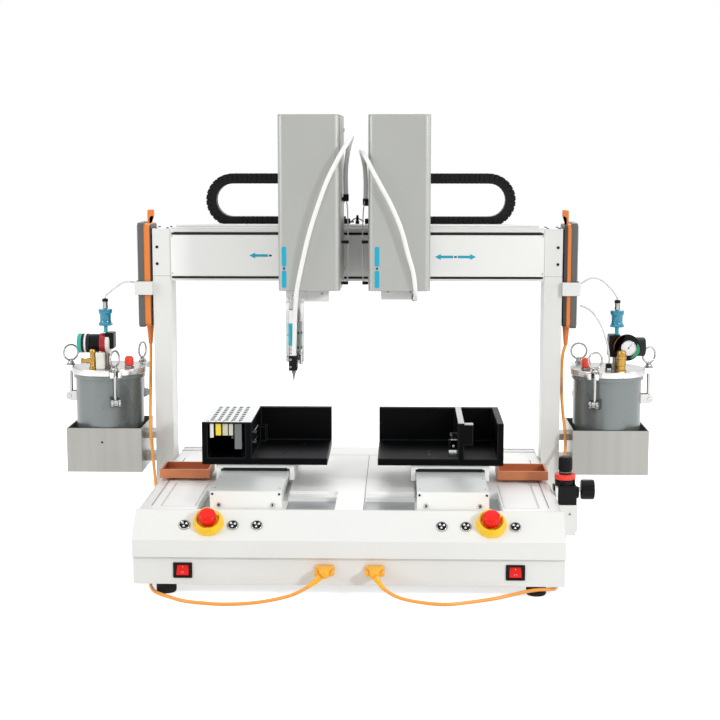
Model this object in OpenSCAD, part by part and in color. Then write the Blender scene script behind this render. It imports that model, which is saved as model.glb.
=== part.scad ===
// Desktop dispensing machine with two heads, two moving trays and two pressure pots.
// Millimetres. X runs to the right, Y to the back, Z up; the table is Z = 0.

/* [Base cabinet] */
// width of the cabinet
base_w = 700; // [500:10:900]
// depth of the cabinet behind the lower front plate
base_d = 564; // [400:4:700]
// height of the deck above the table
deck_z = 135.5; // [110:0.5:180]
// height of the rubber feet
foot_h = 20; // [10:1:40]
// width of the rounded rail along each side of the deck
rail_w = 25; // [15:1:40]
// sheet thickness of the cabinet
sheet = 3; // [1.5:0.5:4]

/* [Gantry] */
// width of one post
post_w = 34; // [25:1:60]
// depth of the posts and the beam
post_d = 62; // [40:1:100]
// front face of the posts
post_y = 450; // [350:1:480]
// underside of the beam
beam_z0 = 475.5; // [420:0.5:560]
// top of the beam
beam_z1 = 573; // [500:1:640]

/* [Heads] */
// width of a head cover
head_w = 108; // [80:1:140]
// front face of the head covers
head_y = 250; // [200:1:300]
// bottom of the head covers
head_z0 = 475; // [440:1:520]
// top of the head covers
head_z1 = 780; // [700:1:860]
// distance of the left head from the middle at rest
head_xl = 77; // [64:1:110]
// distance of the right head from the middle at rest
head_xr = 80; // [64:1:110]

/* [Trays] */
// width of a tray
tray_w = 218; // [150:1:260]
// depth of a tray
tray_d = 180; // [120:1:220]
// height of a tray
tray_h = 73; // [40:1:100]
// underside of the trays
tray_z = 176; // [160:1:200]
// distance of the tray centres from the middle
tray_x = 153; // [120:1:180]
// distance of the slide centres from the middle
slide_x = 170; // [150:1:200]

/* [Pots] */
// distance of the pots' middle from the outer face of the posts
pot_x = 92; // [84:1:140]
// centre of the pots, front to back
pot_y = 481; // [470:1:490]
// outer radius of a pot
pot_r = 64; // [45:1:66]
// top of the steel lid
lid_z = 309; // [260:1:340]

/* [Hidden] */
// shift that puts the middle of the machine on Y = 0
y_mid = 273;
hb = base_w / 2;
// slope of the button panel, and its middle
slope_a = atan2(40.5, 42);
slope_y = 13;
slope_z = 115.25;
// button places along the panel
btn_x = [83 - hb, 162 - hb, 201 - hb, hb - 199, hb - 160, hb - 80];
stop_x = [122 - hb, hb - 119];
// the stop buttons sit a little higher on the slope than the push buttons
stop_up = 4;
// middle of the two rocker switches
rocker_x = [81 - hb, hb - 80];
rocker_z = 43.5;
// turn of the bolts on each pot, and the radius that they stand on
pot_turn = [48, 6];
bolt_r = pot_r + 16;
// axis of the air unit's knob and bowl
frl_x = hb + 18;
// outer face of the posts, and the middle of the pots
post_x = hb + post_w;
pot_cx = post_x + pot_x;
// half width of the cabinet that the cords' points were placed for
cord_w = 350;
// turn of the ring nuts, bolt by bolt
ring_turn = [25, 50, -40];
eps = 0.01;
// underside of the drag chains
chain_z = beam_z1 + 2;
// round points of the cords, in the photo's frame before the shift
cable_pts_l = [
  [-396, 482, 352], [-396, 481, 330], [-395, 468, 290], [-393, 450, 248], [-390, 426, 196],
  [-380, 388, 150], [-366, 330, 105], [-358, 280, 60], [-355, 240, 22], [-351, 200, 5],
  [-344, 130, 3.2], [-333, 62, 3.2], [-326, 33, 3.2], [-314, 8, 3.2], [-290.5, -15, 3.2],
  [-263, -37, 3.2], [-230, -48, 3.2], [-191, -53, 3.2], [-143, -46, 4.5], [-99, -41, 12],
  [-74, -38, 21.5], [-54, -34, 34], [-44.3, -29.3, 42.5]];
cable_pts_r = [
  [396, 482, 352], [391, 480, 334], [389, 476, 300], [389, 470, 262], [391, 460, 224],
  [394, 446, 190], [392, 420, 158], [383, 380, 118], [370, 330, 70], [359, 285, 26],
  [350, 235, 5], [345, 160, 3.2], [345, 100, 3.2], [343, 55, 5.5], [336, 22, 10.5],
  [323, 7, 14], [306, 2.5, 14.4], [285, 0, 11.5], [262, -4, 7], [234, -14, 3.8],
  [196, -31, 3.2], [159, -44, 3.2], [122, -41, 4.5], [87, -41, 11], [63, -38, 22],
  [50, -33, 35], [45.3, -29.3, 42.5]];
feed_pts_l = [
  [-16, 345, 640], [-16.5, 341, 668], [-15, 326, 693], [-9.5, 296, 722], [-3, 262, 741],
  [-9.5, 243, 731], [-22, 236, 710.4], [-43, 234, 669.6], [-60, 234, 625], [-76, 236, 575],
  [-88.6, 238, 523], [-98, 241, 477], [-101.6, 247, 438], [-103.2, 253, 395], [-104.4, 255, 372],
  [-104.8, 255.2, 361]];
feed_pts_r = [
  [19, 345, 632], [19.5, 341, 660], [18.5, 326, 686], [15.6, 296, 706], [13.5, 268, 717],
  [22, 246, 705.5], [33, 238, 685], [45, 236, 663], [65.5, 236, 625], [83, 236, 584],
  [95, 238, 541], [104, 240, 509.6], [107.6, 243, 484], [109, 252, 466], [108, 265, 461.3],
  [107, 271, 461]];
// these three as seen from the middle of their pot's lid
tube_pts_a = [
  [13.5, -19, 131.2], [13.3, -19, 134], [11.6, -19, 138], [3, -18, 150], [-14, -17, 166], [-31, -16, 172],
  [-44, -16, 168], [-57, -15, 159]];
tube_pts_b = [
  [-3.4, -43, 13.8], [-3.3, -42.9, 17], [-2.8, -42.2, 24], [-6, -39, 47], [-15.5, -35, 79], [-31, -31, 105],
  [-45, -26, 116.5], [-57, -23, 121]];
tube_pts_c = [
  [-2, -19, 131.2], [-1.8, -19, 134], [0.6, -19, 138], [13, -18, 148], [30, -17, 160], [44, -16, 163],
  [58, -15, 159]];

// puts a child of the photo's frame into the machine's own frame
module m() translate([0, -y_mid, 0]) children();
// box between two corners
module bx(a, b) translate(a) cube([b[0] - a[0], b[1] - a[1], b[2] - a[2]]);
// profile in Y and Z, drawn out along X
module along_x(x0, x1) translate([x0, 0, 0]) rotate([90, 0, 90]) linear_extrude(x1 - x0) children();
// profile in X and Z, drawn out along Y
module along_y(y0, y1) translate([0, y1, 0]) rotate([90, 0, 0]) linear_extrude(y1 - y0) children();
// upright cylinder between two heights
module zc(x, y, z0, z1, r, n = 24) translate([x, y, z0]) cylinder(h = z1 - z0, r = r, $fn = n);
// cylinder along Y between two depths
module yc(x, z, y0, y1, r, n = 20) translate([x, y1, z]) rotate([90, 0, 0])
  cylinder(h = y1 - y0, r = r, $fn = n);
// cylinder along X between two places
module xc(y, z, x0, x1, r, n = 20) translate([x0, y, z]) rotate([0, 90, 0])
  cylinder(h = x1 - x0, r = r, $fn = n);
// frame on the lid of a pot, s = -1 on the left and 1 on the right
module on_lid(s) translate([s * pot_cx, pot_y, lid_z]) children();
// frame on the button panel: Z points out of the panel
module on_slope(x) translate([x, slope_y, slope_z]) rotate([slope_a, 0, 0]) children();
// the same thing on the left and the right
module both() { children(); mirror([1, 0, 0]) children(); }

// cord points beside the cabinet go out with its sides, those before it in proportion
function wide(p) = [for (v = p)
  [v[0] + sign(v[0]) * (hb - cord_w) * max(0, min(1, (abs(v[0]) - 60) / 270)), v[1], v[2]]];
// cord: rings of n points swept along a smooth line through hand-placed points
function cr(p, i, t) = let(a = p[max(i - 1, 0)], b = p[i], c = p[i + 1], d = p[min(i + 2, len(p) - 1)])
  0.5 * ((2 * b) + (c - a) * t + (2 * a - 5 * b + 4 * c - d) * t * t + (3 * b - a - 3 * c + d) * t * t * t);
function smooth(p, k) = [for (i = [0 : len(p) - 2]) for (j = [0 : k - 1]) cr(p, i, j / k), p[len(p) - 1]];
function unit(v) = v / norm(v);
function tang(q, i) = unit(q[min(i + 1, len(q) - 1)] - q[max(i - 1, 0)]);
function side(t, u) = unit(cross(cross(t, u), t));
function frames(q, i, u) = i >= len(q) ? [] : let(t = tang(q, i), s = side(t, u))
  concat([[q[i], s, cross(t, s)]], frames(q, i + 1, s));
module cord(p, r, k, n, up = [1, 0, 0.3]) {
  q = smooth(p, k);
  f = frames(q, 0, up);
  c = len(f);
  pts = [for (g = f) for (j = [0 : n - 1]) g[0] + r * (g[1] * cos(360 * j / n) + g[2] * sin(360 * j / n))];
  quads = [for (i = [0 : c - 2]) for (j = [0 : n - 1])
    [i * n + j, i * n + (j + 1) % n, (i + 1) * n + (j + 1) % n, (i + 1) * n + j]];
  ends = [[for (j = [0 : n - 1]) n - 1 - j], [for (j = [0 : n - 1]) (c - 1) * n + j]];
  polyhedron(points = pts, faces = concat(quads, ends), convexity = 8);
}

// outline of the front: lower plate, lip and sloping button panel
front_out = [[0, foot_h], [0, 64], [-8, 67], [-8, 95], [34, deck_z]];
front_in = [[38.3, deck_z], [-5, 93.7], [-5, 69.1], [3, 66.1], [3, foot_h]];

module base_pan() color("white") m() difference() {
  union() {
    // sides, cut to the front's shape
    both() along_x(hb - sheet, hb) polygon([[3.2, foot_h], [3.2, 66], [-4.8, 69.2], [-4.8, 93.5],
      [22.6, 120], [base_d, 120], [base_d, foot_h]]);
    bx([-hb + sheet, 3.2, foot_h], [hb - sheet, base_d, foot_h + sheet]);
    bx([-hb + sheet, base_d - sheet, foot_h + sheet], [hb - sheet, base_d, 120]);
    bx([-hb + rail_w, base_d - sheet, 120 - eps], [hb - rail_w, base_d, deck_z]);
    // two cross members under the deck
    for (y = [215, 420]) bx([-hb + sheet, y, foot_h + sheet], [hb - sheet, y + 6, 112]);
  }
  // vents and the connector opening in the rear wall
  for (i = [-8 : 8]) bx([i * 14 - 3, base_d - 5, 50], [i * 14 + 3, base_d + 1, 80]);
}

module front_fascia() color("white") m() difference() {
  along_x(-hb, hb) polygon(concat(front_out, front_in));
  for (x = btn_x) on_slope(x) translate([0, 0, -8]) cylinder(h = 16, r = 8, $fn = 24);
  for (x = stop_x) on_slope(x) translate([0, stop_up, -8]) cylinder(h = 16, r = 11, $fn = 24);
  for (x = rocker_x) bx([x - 13.5, -5, rocker_z - 10.5], [x + 13.5, 5, rocker_z + 10.5]);
  for (x = [-38, 43]) bx([x - 9, -5, 40], [x + 9, 5, 51]);
}

module top_deck() color("white") m() {
  difference() {
    bx([-hb + rail_w, 38.3, deck_z - 4], [hb - rail_w, base_d - sheet, deck_z]);
    // channels that the slides stand in, with the wider pocket at the front
    both() bx([slide_x - 62, 40, deck_z - 5], [slide_x + 62, 520, deck_z + 1]);
    both() bx([24, 40, deck_z - 5], [slide_x + 81, 175, deck_z + 1]);
    // shallow panels beside the slides
    both() bx([slide_x + 86, 60, deck_z - 1], [hb - 39, 232, deck_z + 1]);
  }
  both() difference() {
    union() {
      bx([22, 38.4, deck_z - 16], [slide_x + 83, 177, deck_z - 4 + eps]);
      bx([slide_x - 64, 177 - eps, deck_z - 16], [slide_x + 64, 522, deck_z - 4 + eps]);
    }
    bx([24, 40, deck_z - 13], [slide_x + 81, 175, deck_z]);
    bx([slide_x - 62, 41, deck_z - 13], [slide_x + 62, 520, deck_z]);
  }
  // step at the back of the front pocket
  both() bx([24 - eps, 150, deck_z - 13.5], [slide_x - 62, 175 + eps, deck_z - 5]);
  // inlay sheets in the shallow panels
  both() bx([slide_x + 87, 61, deck_z - 1.4], [hb - 40, 231, deck_z - 0.4]);
}

module side_rails() color("gainsboro") m() both() difference() {
  along_y(17, base_d) {
    difference() {
      translate([hb - rail_w, 120]) square([rail_w, deck_z - 120]);
      difference() {
        translate([hb - 9, deck_z - 9]) square([10, 10]);
        translate([hb - 9, deck_z - 9]) circle(r = 9, $fn = 24);
      }
    }
  }
  // front end follows the button panel
  along_x(hb - rail_w - 1, hb + 1)
    polygon([[10, 110], [10, 150], [54, 150], [38.4, deck_z], [17, 114.9]]);
}

module rubber_feet() color("#202020") m() for (x = [50 - hb, hb - 44]) for (y = [26, base_d - 29]) {
  zc(x, y, 2, foot_h, 16.5, 28);
  translate([x, y, 0]) cylinder(h = 2 + eps, r1 = 15, r2 = 16.5, $fn = 28);
}

module gantry_posts() color("white") m() both() difference() {
  bx([hb, post_y, 44], [hb + post_w, post_y + post_d, beam_z1]);
  bx([hb + 5, post_y + 5, 40], [hb + post_w - 5, post_y + post_d - 5, beam_z1 - 6]);
  // bolt heads sit in these side bores
  for (z = [62, 104]) for (y = [post_y + 15, post_y + post_d - 15])
    xc(y, z, hb + post_w - 6, hb + post_w + 1, 4, 16);
}

module beam_housing() color("white") m() {
  difference() {
    bx([-hb, post_y, beam_z0], [hb, post_y + post_d, beam_z1 - 3]);
    bx([-hb + 6, post_y - 1, beam_z0 + 4], [hb - 6, post_y + post_d - 4, beam_z1 - 6.3]);
  }
  // top strips on each side of the slot
  bx([-hb, post_y, beam_z1 - 3 - eps], [hb, post_y + 6, beam_z1]);
  bx([-hb, post_y + 33, beam_z1 - 3 - eps], [hb, post_y + post_d, beam_z1]);
  // strip that carries the drag chains
  bx([50 - hb, post_y + 34, beam_z1 - eps], [hb - 50, post_y + 60, chain_z]);
  // small cover screws along the top
  for (x = [12 - hb, 32 - hb, hb - 32, hb - 12]) zc(x, post_y + 53, beam_z1 - eps, beam_z1 + 2, 3, 12);
}

// flat cover; it leaves a long slot open above and below itself
module beam_cover() color("white") m() difference() {
  bx([-hb + 0.5, post_y - 3, beam_z0 + 8.7], [hb - 0.5, post_y, beam_z1 - 11.7]);
  for (x = [-hb + 3.5, hb - 3.5]) for (z = [beam_z0 + 14, beam_z1 - 14])
    yc(x, z, post_y - 4, post_y + 1, 1.5, 13);
}

module guide_rails() color("silver") m() {
  // profiled rail on the beam
  along_x(10 - hb, hb - 10) translate([post_y + 15.5, beam_z1]) polygon([[-6.5, -3], [-6.5, 1], [-4.5, 3],
    [-6.5, 5], [-6.5, 8], [6.5, 8], [6.5, 5], [4.5, 3], [6.5, 1], [6.5, -3]]);
  // pairs of rails in the two slides
  both() for (x = [slide_x - 46, slide_x + 34]) bx([x, 54, 141.5], [x + 12, 498, 152]);
}

module y_housings() color("whitesmoke") m() both() {
  // channel body that the rails are bolted on
  difference() {
    bx([slide_x - 52, 50, deck_z - 13], [slide_x + 52, 502, 141.5]);
    bx([slide_x - 30, 54, deck_z - 8], [slide_x + 30, 498, 142]);
  }
  difference() {
    bx([slide_x - 59, 44, deck_z - 3], [slide_x + 59, 50, 164]);
    for (s = [-1, 1]) yc(slide_x + s * 55, 160, 43, 51, 1.9, 12);
    for (s = [-1, 1]) yc(slide_x + s * 44, 142, 43, 51, 2.6, 12);
  }
  bx([slide_x - 59, 502, deck_z - 13], [slide_x + 59, 508, 164]);
  // screw heads
  for (s = [-1, 1]) {
    yc(slide_x + s * 55, 160, 43.4, 47, 1.9, 12);
    yc(slide_x + s * 44, 142, 43.2, 47, 2.6, 12);
  }
}

module y_top_covers() color("silver") m() both() difference() {
  bx([slide_x - 59, 50, 156], [slide_x + 59, 502, 164]);
  bx([slide_x - 57, 49, 155], [slide_x + 57, 503, 162.2]);
}

module purge_trays() color("#9a5a40") m() both() {
  difference() {
    bx([slide_x + 85, 246, 141], [hb - 6, 316, 156.5]);
    bx([slide_x + 89, 250, 145], [hb - 10, 312, 158]);
  }
  for (x = [slide_x + 96, hb - 24]) bx([x, 262, deck_z], [x + 8, 300, 141 + eps]);
}

module panel_fittings() color("silver") m() {
  for (x = btn_x) on_slope(x) difference() {
    union() {
      cylinder(h = 2.6, r = 9.6, $fn = 28);
      translate([0, 0, -16]) cylinder(h = 16 + eps, r = 7.9, $fn = 24);
    }
    translate([0, 0, -12]) cylinder(h = 16, r = 7, $fn = 24);
  }
  // switch frames
  for (x = rocker_x) translate([x, 0, rocker_z]) difference() {
    union() {
      bx([-15.5, -2.2, -12.8], [15.5, 0, 12.8]);
      bx([-13.4, -eps, -10.4], [13.4, 16, 10.4]);
    }
    bx([-10.3, -3, -9.7], [10.3, 13, 9.7]);
  }
  // connector shells
  for (x = [-38, 43]) difference() {
    bx([x - 15.5, -1.6, 39], [x + 15.5, 0, 52]);
    bx([x - 8.8, -2, 40.2], [x + 8.8, 1, 50.8]);
  }
}

module estop_guards() color("gold") m() for (x = stop_x) on_slope(x) translate([0, stop_up]) difference() {
  union() {
    cylinder(h = 4, r = 25, $fn = 36);
    translate([0, 0, 4 - eps]) cylinder(h = 11, r1 = 24, r2 = 21, $fn = 36);
    translate([0, 0, -15]) cylinder(h = 15 + eps, r = 10.9, $fn = 24);
  }
  translate([0, 0, 3]) cylinder(h = 13, r1 = 16.5, r2 = 18, $fn = 32);
  translate([0, 0, -12]) cylinder(h = 16, r = 8.6, $fn = 24);
  // opening of the shroud on the upper side
  rotate([0, 0, -35]) translate([-9, 12, 6]) cube([18, 16, 12]);
}

module pendant_holders() color("white") m() both() difference() {
  bx([post_x, post_y - 10, 449], [post_x + 33.5, post_y + 80, 474]);
  bx([post_x + 1.8, post_y - 6.8, 448], [post_x + 31.7, post_y + 77, 475]);
}

module pendants() m() both() translate([post_x, post_y, 0]) {
  color("#d9681c") {
    bx([6, -3, 388], [17, 73, 582]);
    // hook on top
    bx([1.8, 28, 594], [15, 42, 607]);
    bx([7, 28, 580], [15, 42, 597]);
    // cable boot
    translate([12, 32, 352]) cylinder(h = 36, r1 = 3.8, r2 = 6, $fn = 16);
  }
  color("#303030") bx([2.4, 0, 392], [6.01, 70, 578]);
  color("#7c7f83") difference() {
    bx([16.99, -5, 387], [29, 75, 584]);
    // ribs of the outer face
    for (i = [0 : 23]) bx([27, -10, 392 + i * 8], [30, 80, 395 + i * 8]);
  }
}

// box that a pot stands in; the pot fills it but for a gap beside and before it
box_x = [pot_cx - pot_r - 7, pot_cx + pot_r + 7];
box_y = [pot_y - pot_r - 5, pot_y + pot_r + 5];
module pot_brackets() color("silver") m() difference() {
  both() pot_bracket();
  // the left box has a hole in its front
  yc(-pot_cx - 4, 172, box_y[0] - 1, box_y[0] + 3, 2.2, 16);
}
module pot_bracket() {
  difference() {
    bx([box_x[0], box_y[0], 115], [box_x[1], box_y[1], 199]);
    bx([box_x[0] + 2, box_y[0] + 2, 117], [box_x[1] - 2, box_y[1] - 2, 200]);
  }
  // two arms between the post and the box
  for (z = [128, 172]) bx([post_x, post_y + 8, z], [box_x[0] + eps, post_y + 54, z + 12]);
}

// the two pots differ in how far their bolts are turned
module at_pots() for (s = [0, 1]) on_lid(2 * s - 1) rotate([0, 0, pot_turn[s]]) children();

module pot_vessels() color("#8f9396") m() at_pots() difference() {
  union() {
    zc(0, 0, 117 - lid_z, -12, pot_r, 48);
    zc(0, 0, -20, -12, pot_r + 4, 48);
  }
  zc(0, 0, 122 - lid_z, -11, pot_r - 4, 48);
}

module pot_lids() color("silver") m() at_pots() {
  zc(0, 0, -12, 0, pot_r + 7, 48);
  // lugs, slotted for the swing bolts
  for (a = [0 : 120 : 240]) rotate([0, 0, a]) difference() {
    bx([pot_r, -11, -12], [bolt_r + 15, 11, 0]);
    bx([bolt_r - 4, -3.6, -13], [bolt_r + 16, 3.6, 1]);
  }
}

// swing bolts, each with a clevis on the pot's wall, a washer and a ring nut
module pot_clamps() color("silver") m() at_pots() for (a = [0 : 120 : 240]) rotate([0, 0, a]) {
  zc(bolt_r, 0, -65, 11, 3, 16);
  difference() {
    bx([pot_r - 2, -9, -70], [bolt_r + 8, 9, -51]);
    // the flats of this cut lie on the vessel's wall
    zc(0, 0, -71, -50, pot_r / cos(180 / 96), 96);
  }
  zc(bolt_r, 0, 0, 8, 8, 20);
  translate([bolt_r, 0, 23]) rotate([90, 0, ring_turn[a / 120]])
    rotate_extrude($fn = 28) translate([15, 0]) circle(r = 2, $fn = 8);
}

// where the riser of each slide valve stands, seen from its pot's middle
riser_x = [-2, 13.5];
riser_y = -19;

module pot_regulators() m() {
  // what both lids carry: riser, spindle of the slide valve and the fitting above it
  for (s = [0, 1]) on_lid(2 * s - 1) translate([riser_x[s], riser_y, 0]) {
    color("#202225") zc(0, 0, 0, 37, 8, 16);
    color("silver") zc(0, 0, 65, 79, 3.8, 16);
    color("#202225") zc(0, 0, 77, 113, 3.9, 16);
    color("silver") zc(0, 0, 112.5, 131, 5, 16);
  }
  // left pot: regulator across the lid, brass outlet cock, white elbow, red relief valve
  on_lid(-1) {
    color("#202225") {
      xc(riser_y, 45.5, -30.7, 6, 17.5, 32);
      bx([-6, -33, 36], [10, -5, 67]);
    }
    color("#b58a3c") {
      zc(-23, -44, 0, 38, 6, 16);
      xc(-44, 15, -45.4, -27, 5, 16);
    }
    color("whitesmoke") bx([-16, -51, 0], [-1, -37, 31]);
    color("#c8321e") zc(41.4, -19, 0, 22, 8.6, 20);
  }
  // right pot: regulator with a gauge that faces forward, brass safety valve, tube fitting
  on_lid(1) {
    color("#202225") {
      xc(riser_y, 42.5, 18, 31.4, 17, 32);
      bx([-2.4, -35, 24], [20, -3, 66]);
      yc(25, 43, -41.1, -29, 5.5, 16);
      zc(-3.4, -43, 0, 13.5, 6, 16);
    }
    color("#8a4a30") yc(24.5, 43.5, -41, -38.5, 19, 32);
    color("whitesmoke") yc(31.6, 44, -53, -41 + eps, 12.6, 28);
    color("#b58a3c") zc(17.6, -60, 0, 41, 8.6, 20);
    color("#c8321e") zc(-43, -19, 0, 22, 8.6, 20);
  }
}

module frl_body() m() translate([frl_x, 190, 0]) {
  // bracket on the side of the cabinet
  color("whitesmoke") {
    bx([-18, -22, 62], [-14, 16, 146]);
    bx([-18, -24, 68], [20, -20, 115]);
    bx([-11, -24, 62], [17, -20, 68 + eps]);
  }
  color("#1d1f21") {
    bx([-14.01, -19, 106], [19, 19, 148]);
    bx([-21, -10, 136], [-14, 10, 147]);
    translate([0, 0, 148 - eps]) cylinder(h = 9, r = 17.5, $fn = 28);
    zc(0, 0, 64, 106 + eps, 15, 24);
    zc(0, 0, 44, 64 + eps, 4, 16);
    xc(0, 133, 18.9, 23.5, 10.5, 20);
    xc(0, 138, 18.9, 27, 4, 16);
    xc(0, 138, 27 - eps, 50, 17.5, 28);
  }
  color("#b82418") zc(0, 0, 157 - eps, 166, 18, 28);
  // air inlet behind the body, open to the right
  color("#1d1f21") difference() {
    xc(26.5, 124, -8, 19.4, 8.5, 20);
    xc(26.5, 124, 10.4, 20, 5, 20);
  }
}

module cable_plugs() color("#d9681c") m() for (x = [-38, 43]) {
  bx([x - 8.6, -4, 40.4], [x + 8.6, 2, 50.6]);
  difference() {
    bx([x - 16, -30, 33], [x + 16, -1.6, 55]);
    translate([x, -20, 34]) rotate([-45, 0, 0]) translate([-20, -30, -22]) cube([40, 30, 22]);
  }
}

// flat outline of a drag chain: two runs and the bend, notched link by link
module chain_2d(x_fix, x_bend, x_move, z0, z1, t) {
  r = (z1 + t - z0) / 2;
  zc0 = z0 + r;
  difference() {
    union() {
      translate([min(x_fix, x_bend), z0]) square([abs(x_bend - x_fix), t]);
      translate([min(x_move, x_bend), z1]) square([abs(x_bend - x_move), t]);
      intersection() {
        difference() {
          translate([x_bend, zc0]) circle(r = r, $fn = 48);
          translate([x_bend, zc0]) circle(r = r - t, $fn = 40);
        }
        translate([x_bend - (x_bend < 0 ? 2 * r : 0), z0 - 1]) square([2 * r, 2 * r + 2]);
      }
    }
    for (x = [min(x_fix, x_bend) + 8 : 14 : max(x_fix, x_bend) - 2])
      for (z = [z0 - 1, z0 + t - 1.6]) translate([x, z]) square([1.6, 2.6]);
    for (x = [min(x_move, x_bend) + 8 : 14 : max(x_move, x_bend) - 2])
      for (z = [z1 - 1, z1 + t - 1.6]) translate([x, z]) square([1.6, 2.6]);
    for (a = [-75 : 18 : 75]) translate([x_bend, zc0]) rotate([0, 0, x_bend < 0 ? 180 + a : a]) {
      translate([r - 1.6, -0.8]) square([3, 1.6]);
      translate([r - t - 1, -0.8]) square([2.6, 1.6]);
    }
  }
}

module drag_chain(x_fix, x_bend, x_move) color("#18191b") m() along_y(post_y + 34, post_y + 60)
  chain_2d(x_fix, x_bend, x_move, chain_z, 656, 19);
module drag_chain_left() drag_chain(-24, 114 - hb, -104);
module drag_chain_right() drag_chain(24, hb - 102, 107);

module cable_left() color("#e0701c") m() cord(wide(cable_pts_l), 2.9, 3, 8);
module cable_right() color("#e0701c") m() cord(wide(cable_pts_r), 2.9, 3, 8);
module feed_tube_left() color("white") m() cord(feed_pts_l, 4, 3, 10, [0, 0, 1]);
module feed_tube_right() color("white") m() cord(feed_pts_r, 4, 3, 10, [0, 0, 1]);
module pot_tube_a() color("whitesmoke") m() on_lid(1) cord(tube_pts_a, 2, 3, 8, [0, 1, 0]);
module pot_tube_b() color("whitesmoke") m() on_lid(1) cord(tube_pts_b, 2, 3, 8, [0, 1, 0]);
module pot_tube_c() color("whitesmoke") m() on_lid(-1) cord(tube_pts_c, 2, 3, 8, [0, 1, 0]);

// carriage of a head, drawn with the head's middle at X = 0; s is the side of the chain
module x_carriage(s) {
  color("#8b8f93") {
    // back column of the head
    bx([-51.5, 404, head_z0 + 5], [51.5, 414, head_z1 - 6]);
    // saddle over the beam
    bx([-47, 414 - eps, 470], [47, 443, 480]);
    bx([-47, 414 - eps, beam_z1 + 13], [47, 443, beam_z1 + 20]);
    bx([-47, 436, 470], [47, 443, beam_z1 + 20]);
    bx([-47, 443 - eps, beam_z1 + 11], [47, post_y + 31, beam_z1 + 20]);
    // jaws beside the rail
    for (x = [-44, 14]) {
      bx([x, post_y + 1.5, beam_z1 + 3.5], [x + 30, post_y + 8.6, beam_z1 + 11 + eps]);
      bx([x, post_y + 22.4, beam_z1 + 3.5], [x + 30, post_y + 31, beam_z1 + 11 + eps]);
    }
  }
  // bracket that carries the moving end of the chain
  color("#303236") {
    bx([-47, 414 - eps, 650], [47, post_y + 34, 656]);
    bx([s > 0 ? 20 : -53, post_y + 33, 650], [s > 0 ? 53 : -20, post_y + 60, 656]);
  }
  // wall inside the cover that holds the linear rail
  color("#8b8f93") bx([-30, 330, 480], [30, 404 + eps, 770]);
  color("silver") for (x = [-24, 12]) bx([x, 322, 480], [x + 12, 330 + eps, 772]);
}
module x_carriage_left() m() translate([-head_xl, 0, 0]) x_carriage(-1);
module x_carriage_right() m() translate([head_xr, 0, 0]) x_carriage(1);

module head_cover(s, zf) {
  color("#a9acae") {
    translate([0, 0, head_z0]) linear_extrude(head_z1 - head_z0) difference() {
      head_outline(head_w / 2, head_y, 10);
      head_outline(head_w / 2 - 2.5, head_y + 2.5, 7.5);
      translate([-head_w / 2 + 2.5, 300]) square([head_w - 5, 140]);
    }
    translate([0, 0, head_z1 - 2.5]) linear_extrude(2.5) head_outline(head_w / 2, head_y, 10);
  }
  // elbow that the feed tube starts from, on the inner side
  color("#18191b") {
    mirror([s < 0 ? 0 : 1, 0, 0]) {
      xc(345, zf - 8, head_w / 2 - eps, head_w / 2 + 11, 4.6, 16);
      zc(head_w / 2 + 7, 345, zf - 8, zf, 5, 16);
    }
  }
}
module head_outline(w, y, r) {
  hull() {
    translate([-w + r, y + r]) circle(r = r, $fn = 32);
    translate([w - r, y + r]) circle(r = r, $fn = 32);
    translate([-w, 420]) square([2 * w, 10]);
  }
}
module head_cover_left() m() translate([-head_xl, 0, 0]) head_cover(-1, 640);
module head_cover_right() m() translate([head_xr, 0, 0]) head_cover(1, 632);

// slide that goes down out of a head; z0 is its lower end
module z_slide(z0) {
  color("#b4b7ba") difference() {
    bx([-32, 296, z0], [32, 308, 700]);
    for (x = [-20, 20]) for (z = [z0 + 14, z0 + 44]) yc(x, z, 295, 309, 2.5, 16);
  }
  // block on the rails
  color("#8b8f93") for (z = [590, 646]) difference() {
    bx([-30, 308 - eps, z], [30, 329.5, z + 46]);
    for (x = [-24.4, 11.6]) bx([x, 321.6, z - 1], [x + 12.8, 330, z + 47]);
  }
}
module z_slide_left() m() {
  translate([-head_xl, 0, 0]) z_slide(452);
  // channel that the valve is clamped in
  color("#c8cacc") {
    bx([-120, 284, 347], [-88, 288, 475]);
    bx([-116, 288 - eps, 452], [-90, 296 + eps, 470]);
    bx([-120, 272, 347], [-114, 284 + eps, 452]);
    bx([-94, 272, 347], [-88, 284 + eps, 452]);
  }
}
module z_slide_right() m() {
  translate([head_xr, 0, 0]) z_slide(456);
  // plain tube fitting
  color("#303236") yc(107, 461, 271.9, 296.01, 5.5, 20);
}

module valve_body() m() {
  color("#c8cacc") bx([-113.6, 264, 416], [-99, 284, 440]);
  color("silver") zc(-106.8, 270, 439.9, 468, 1.8, 12);
  color("#1b9fae") zc(-110, 268, 377, 416 + eps, 5.6, 24);
  color("#8b8f93") zc(-109, 268, 360, 377 + eps, 4, 16);
  color("#1c1d1f") bx([-113.6, 249, 334], [-98.8, 284, 360.8]);
  // small air cylinder beside the valve
  color("silver") zc(-94.6, 264, 372, 420, 3.6, 20);
  color("#1c1d1f") for (z = [372, 398]) bx([-99, 261, z], [-91, 272, z + 4]);
  color("silver") zc(-92.6, 264, 344, 368, 3.2, 16);
  color("silver") bx([-99, 262, 346], [-92, 270, 352]);
}
module needle() color("silver") m() {
  translate([-105.9, 267, 326]) cylinder(h = 8, r = 3.2, $fn = 16);
  difference() {
    translate([-105.9, 267, 314]) cylinder(h = 12 + eps, r1 = 0.8, r2 = 2.6, $fn = 16);
    zc(-105.9, 267, 313, 318, 0.45, 12);
  }
}

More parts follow.
